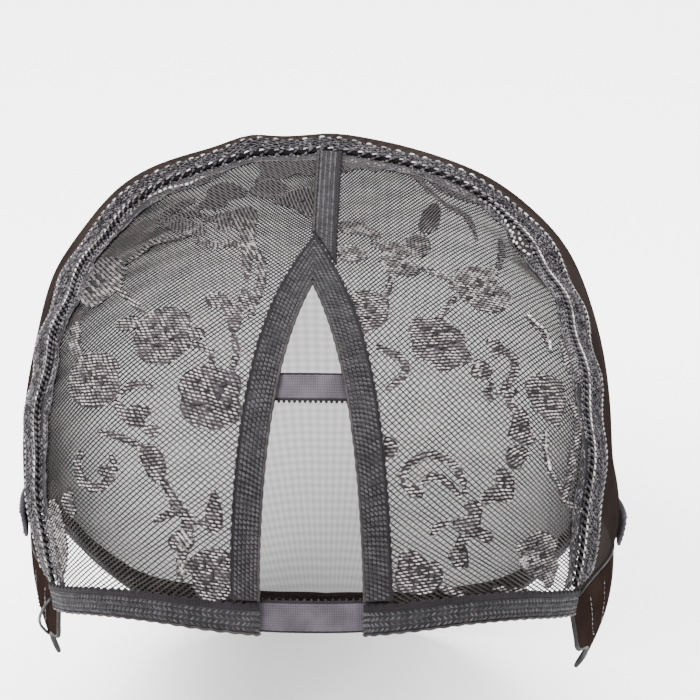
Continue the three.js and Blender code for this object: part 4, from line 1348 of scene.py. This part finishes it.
def makeNapeBand():
    def direction(t, u):
        longitude = handOf(t) * (nape["start"] + (180 - nape["start"]) * fromMiddle(t))
        return earDirection(longitude, u * nape["width"])

    patch = Patch(direction, 200, 4)

    def ribs(x, y):
        return 0.1 * np.sin(y * 2 * np.pi / nape["rib"]) + 0.05 * np.sin(x * 2 * np.pi / nape["weave"])

    cloth = wallObject("napeBand", patch, 420, 20, 0.4, 1.5, strapTape, None, ribs)
    stitches = []
    for name, across in (("napeStitchLow", nape["stitchIn"]), ("napeStitchHigh", patch.width - nape["stitchIn"])):
        stitches.append(addStitches(name, patch, across, 2.4, 1.9, 0.25, 1.6, 0, seamYarn))
    finishPiece(cloth, ["nape_band"], stitches)


makeNapeBand()
print("elastics ready")

# Ear tabs with a corded edge and rows of stitches
tabs = dict(start=51, spread=22, bend=0.8, rightLength=29.5, leftLength=27, rightFlare=4.2, leftFlare=1.6,
            loopEnds=(0.1, 0.72), loopAcross=0.16, loopBow=2.8)
# down, front, back
tabRows = np.array([
    [0, 0, 1], [0.25, 0.02, 0.98], [0.45, 0.08, 0.93], [0.6, 0.3, 0.87], [0.8, 0.44, 0.76], [1, 0.54, 0.6],
])


def makeTab(hand, side):
    length, flare = tabs[side.lower() + "Length"], tabs[side.lower() + "Flare"]

    def direction(t, u):
        front, back = readTable(tabRows, 1, t), readTable(tabRows, 2, t)
        longitude = tabs["start"] + tabs["spread"] * (front + (back - front) * u)
        return earDirection(hand * longitude, -0.4 - length * t)

    patch = Patch(direction, 40, 16)

    def stand(x, y):
        return flare * np.sin(tabs["bend"] * np.pi * x / patch.length)

    cloth = wallObject("earTab" + side, patch, 60, 24, -1.0, 0.0, tabCloth, None, stand)
    t = np.linspace(0, 1, 70)
    around = [(t, 0 * t + 0.01), (1 + 0 * t[:12], np.linspace(0, 1, 12)), (t[::-1], 0 * t + 0.99)]
    a, b = np.concatenate([s[0] for s in around]), np.concatenate([s[1] for s in around])
    rim = [patch.at(a, b, -0.5 + stand(a * patch.length, 0))]
    cord = addTubes("earTabEdge" + side, rim, 0.6, darkYarnAndShade, 6)
    details = [cord]
    for k, across in enumerate((0.3, 0.62)):
        rows = np.linspace(0.12, 0.5, 9)
        point, normal = patch.at(rows, 0 * rows + across, 0.15 + stand(rows * patch.length, 0))
        ahead, n = patch.at(rows + 0.02, 0 * rows + across, 0.15 + stand((rows + 0.02) * patch.length, 0))
        paths, radii = dashPaths(point, normal, unit(ahead - point), 1.1, 0.17)
        details.append(addTubes("earTabStitch" + side + str(k), paths, radii, speckYarn, 5))
    if hand < 0:
        ends = np.array(tabs["loopEnds"])
        foot, out = patch.at(ends, np.full(2, tabs["loopAcross"]), stand(ends * patch.length, 0))
        t = np.linspace(0, 1, 30)[:, None]
        path = foot[0] * (1 - t) + foot[1] * t + unit(out.sum(0)) * tabs["loopBow"] * np.sin(np.pi * t)
        sideways = unit(np.cross(foot[1] - foot[0], out.sum(0)))
        details.append(addTubes("earTabLoop", [(path, np.tile(sideways, (30, 1)))], 0.4, seamYarn, 6))
    finishPiece(cloth, ["ear_tab_" + side.lower()], details)


makeTab(-1, "Left")
makeTab(1, "Right")
print("ear tabs ready")


# Pale floor, soft lights and a light surround
studio = dict(floor=6, below=0.0005, surround=1.5, aim=-0.07)
# name, place, size, power
lights = [
    ("keyLight", (-0.6, -0.85, 1.1), 0.7, 92), ("fillLight", (0.9, -0.6, 0.7), 0.9, 20),
    ("topLight", (0.1, 0.3, 1.3), 1.0, 62),
]


def makeStudio():
    g = Graph("floorPaint", Roughness=0.9, Specular_IOR_Level=0.1)
    g.feed("Base Color", g.blend(g.noise(3, 2), shade(246, 246, 246), shade(250, 250, 250)))
    low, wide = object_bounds()[0].z - studio["below"], studio["floor"]
    mesh = bpy.data.meshes.new("floor")
    corners = [(-wide, -wide, low), (wide, -wide, low), (wide, wide, low), (-wide, wide, low)]
    mesh.from_pydata(corners, [], [(0, 1, 2, 3)])
    mesh.materials.append(g.material)
    floor = bpy.data.objects.new("floor", mesh)
    bpy.context.collection.objects.link(floor)
    for name, place, size, power in lights:
        data = bpy.data.lights.new(name, "AREA")
        data.size, data.energy = size, power
        lamp = bpy.data.objects.new(name, data)
        bpy.context.collection.objects.link(lamp)
        back = unit(np.array(place) - np.array([0, 0, studio["aim"]]))
        side = unit(np.cross([0, 0, 1.0], back))
        top = np.cross(back, side)
        lamp.matrix_world = Matrix([[side[i], top[i], back[i], place[i]] for i in range(3)] + [[0, 0, 0, 1]])
    world = bpy.data.worlds.new("surround")
    world.use_nodes = True
    background = world.node_tree.nodes["Background"]
    background.inputs[0].default_value = (1, 1, 1, 1)
    background.inputs[1].default_value = studio["surround"]
    bpy.context.scene.world = world


makeStudio()
print("studio ready")
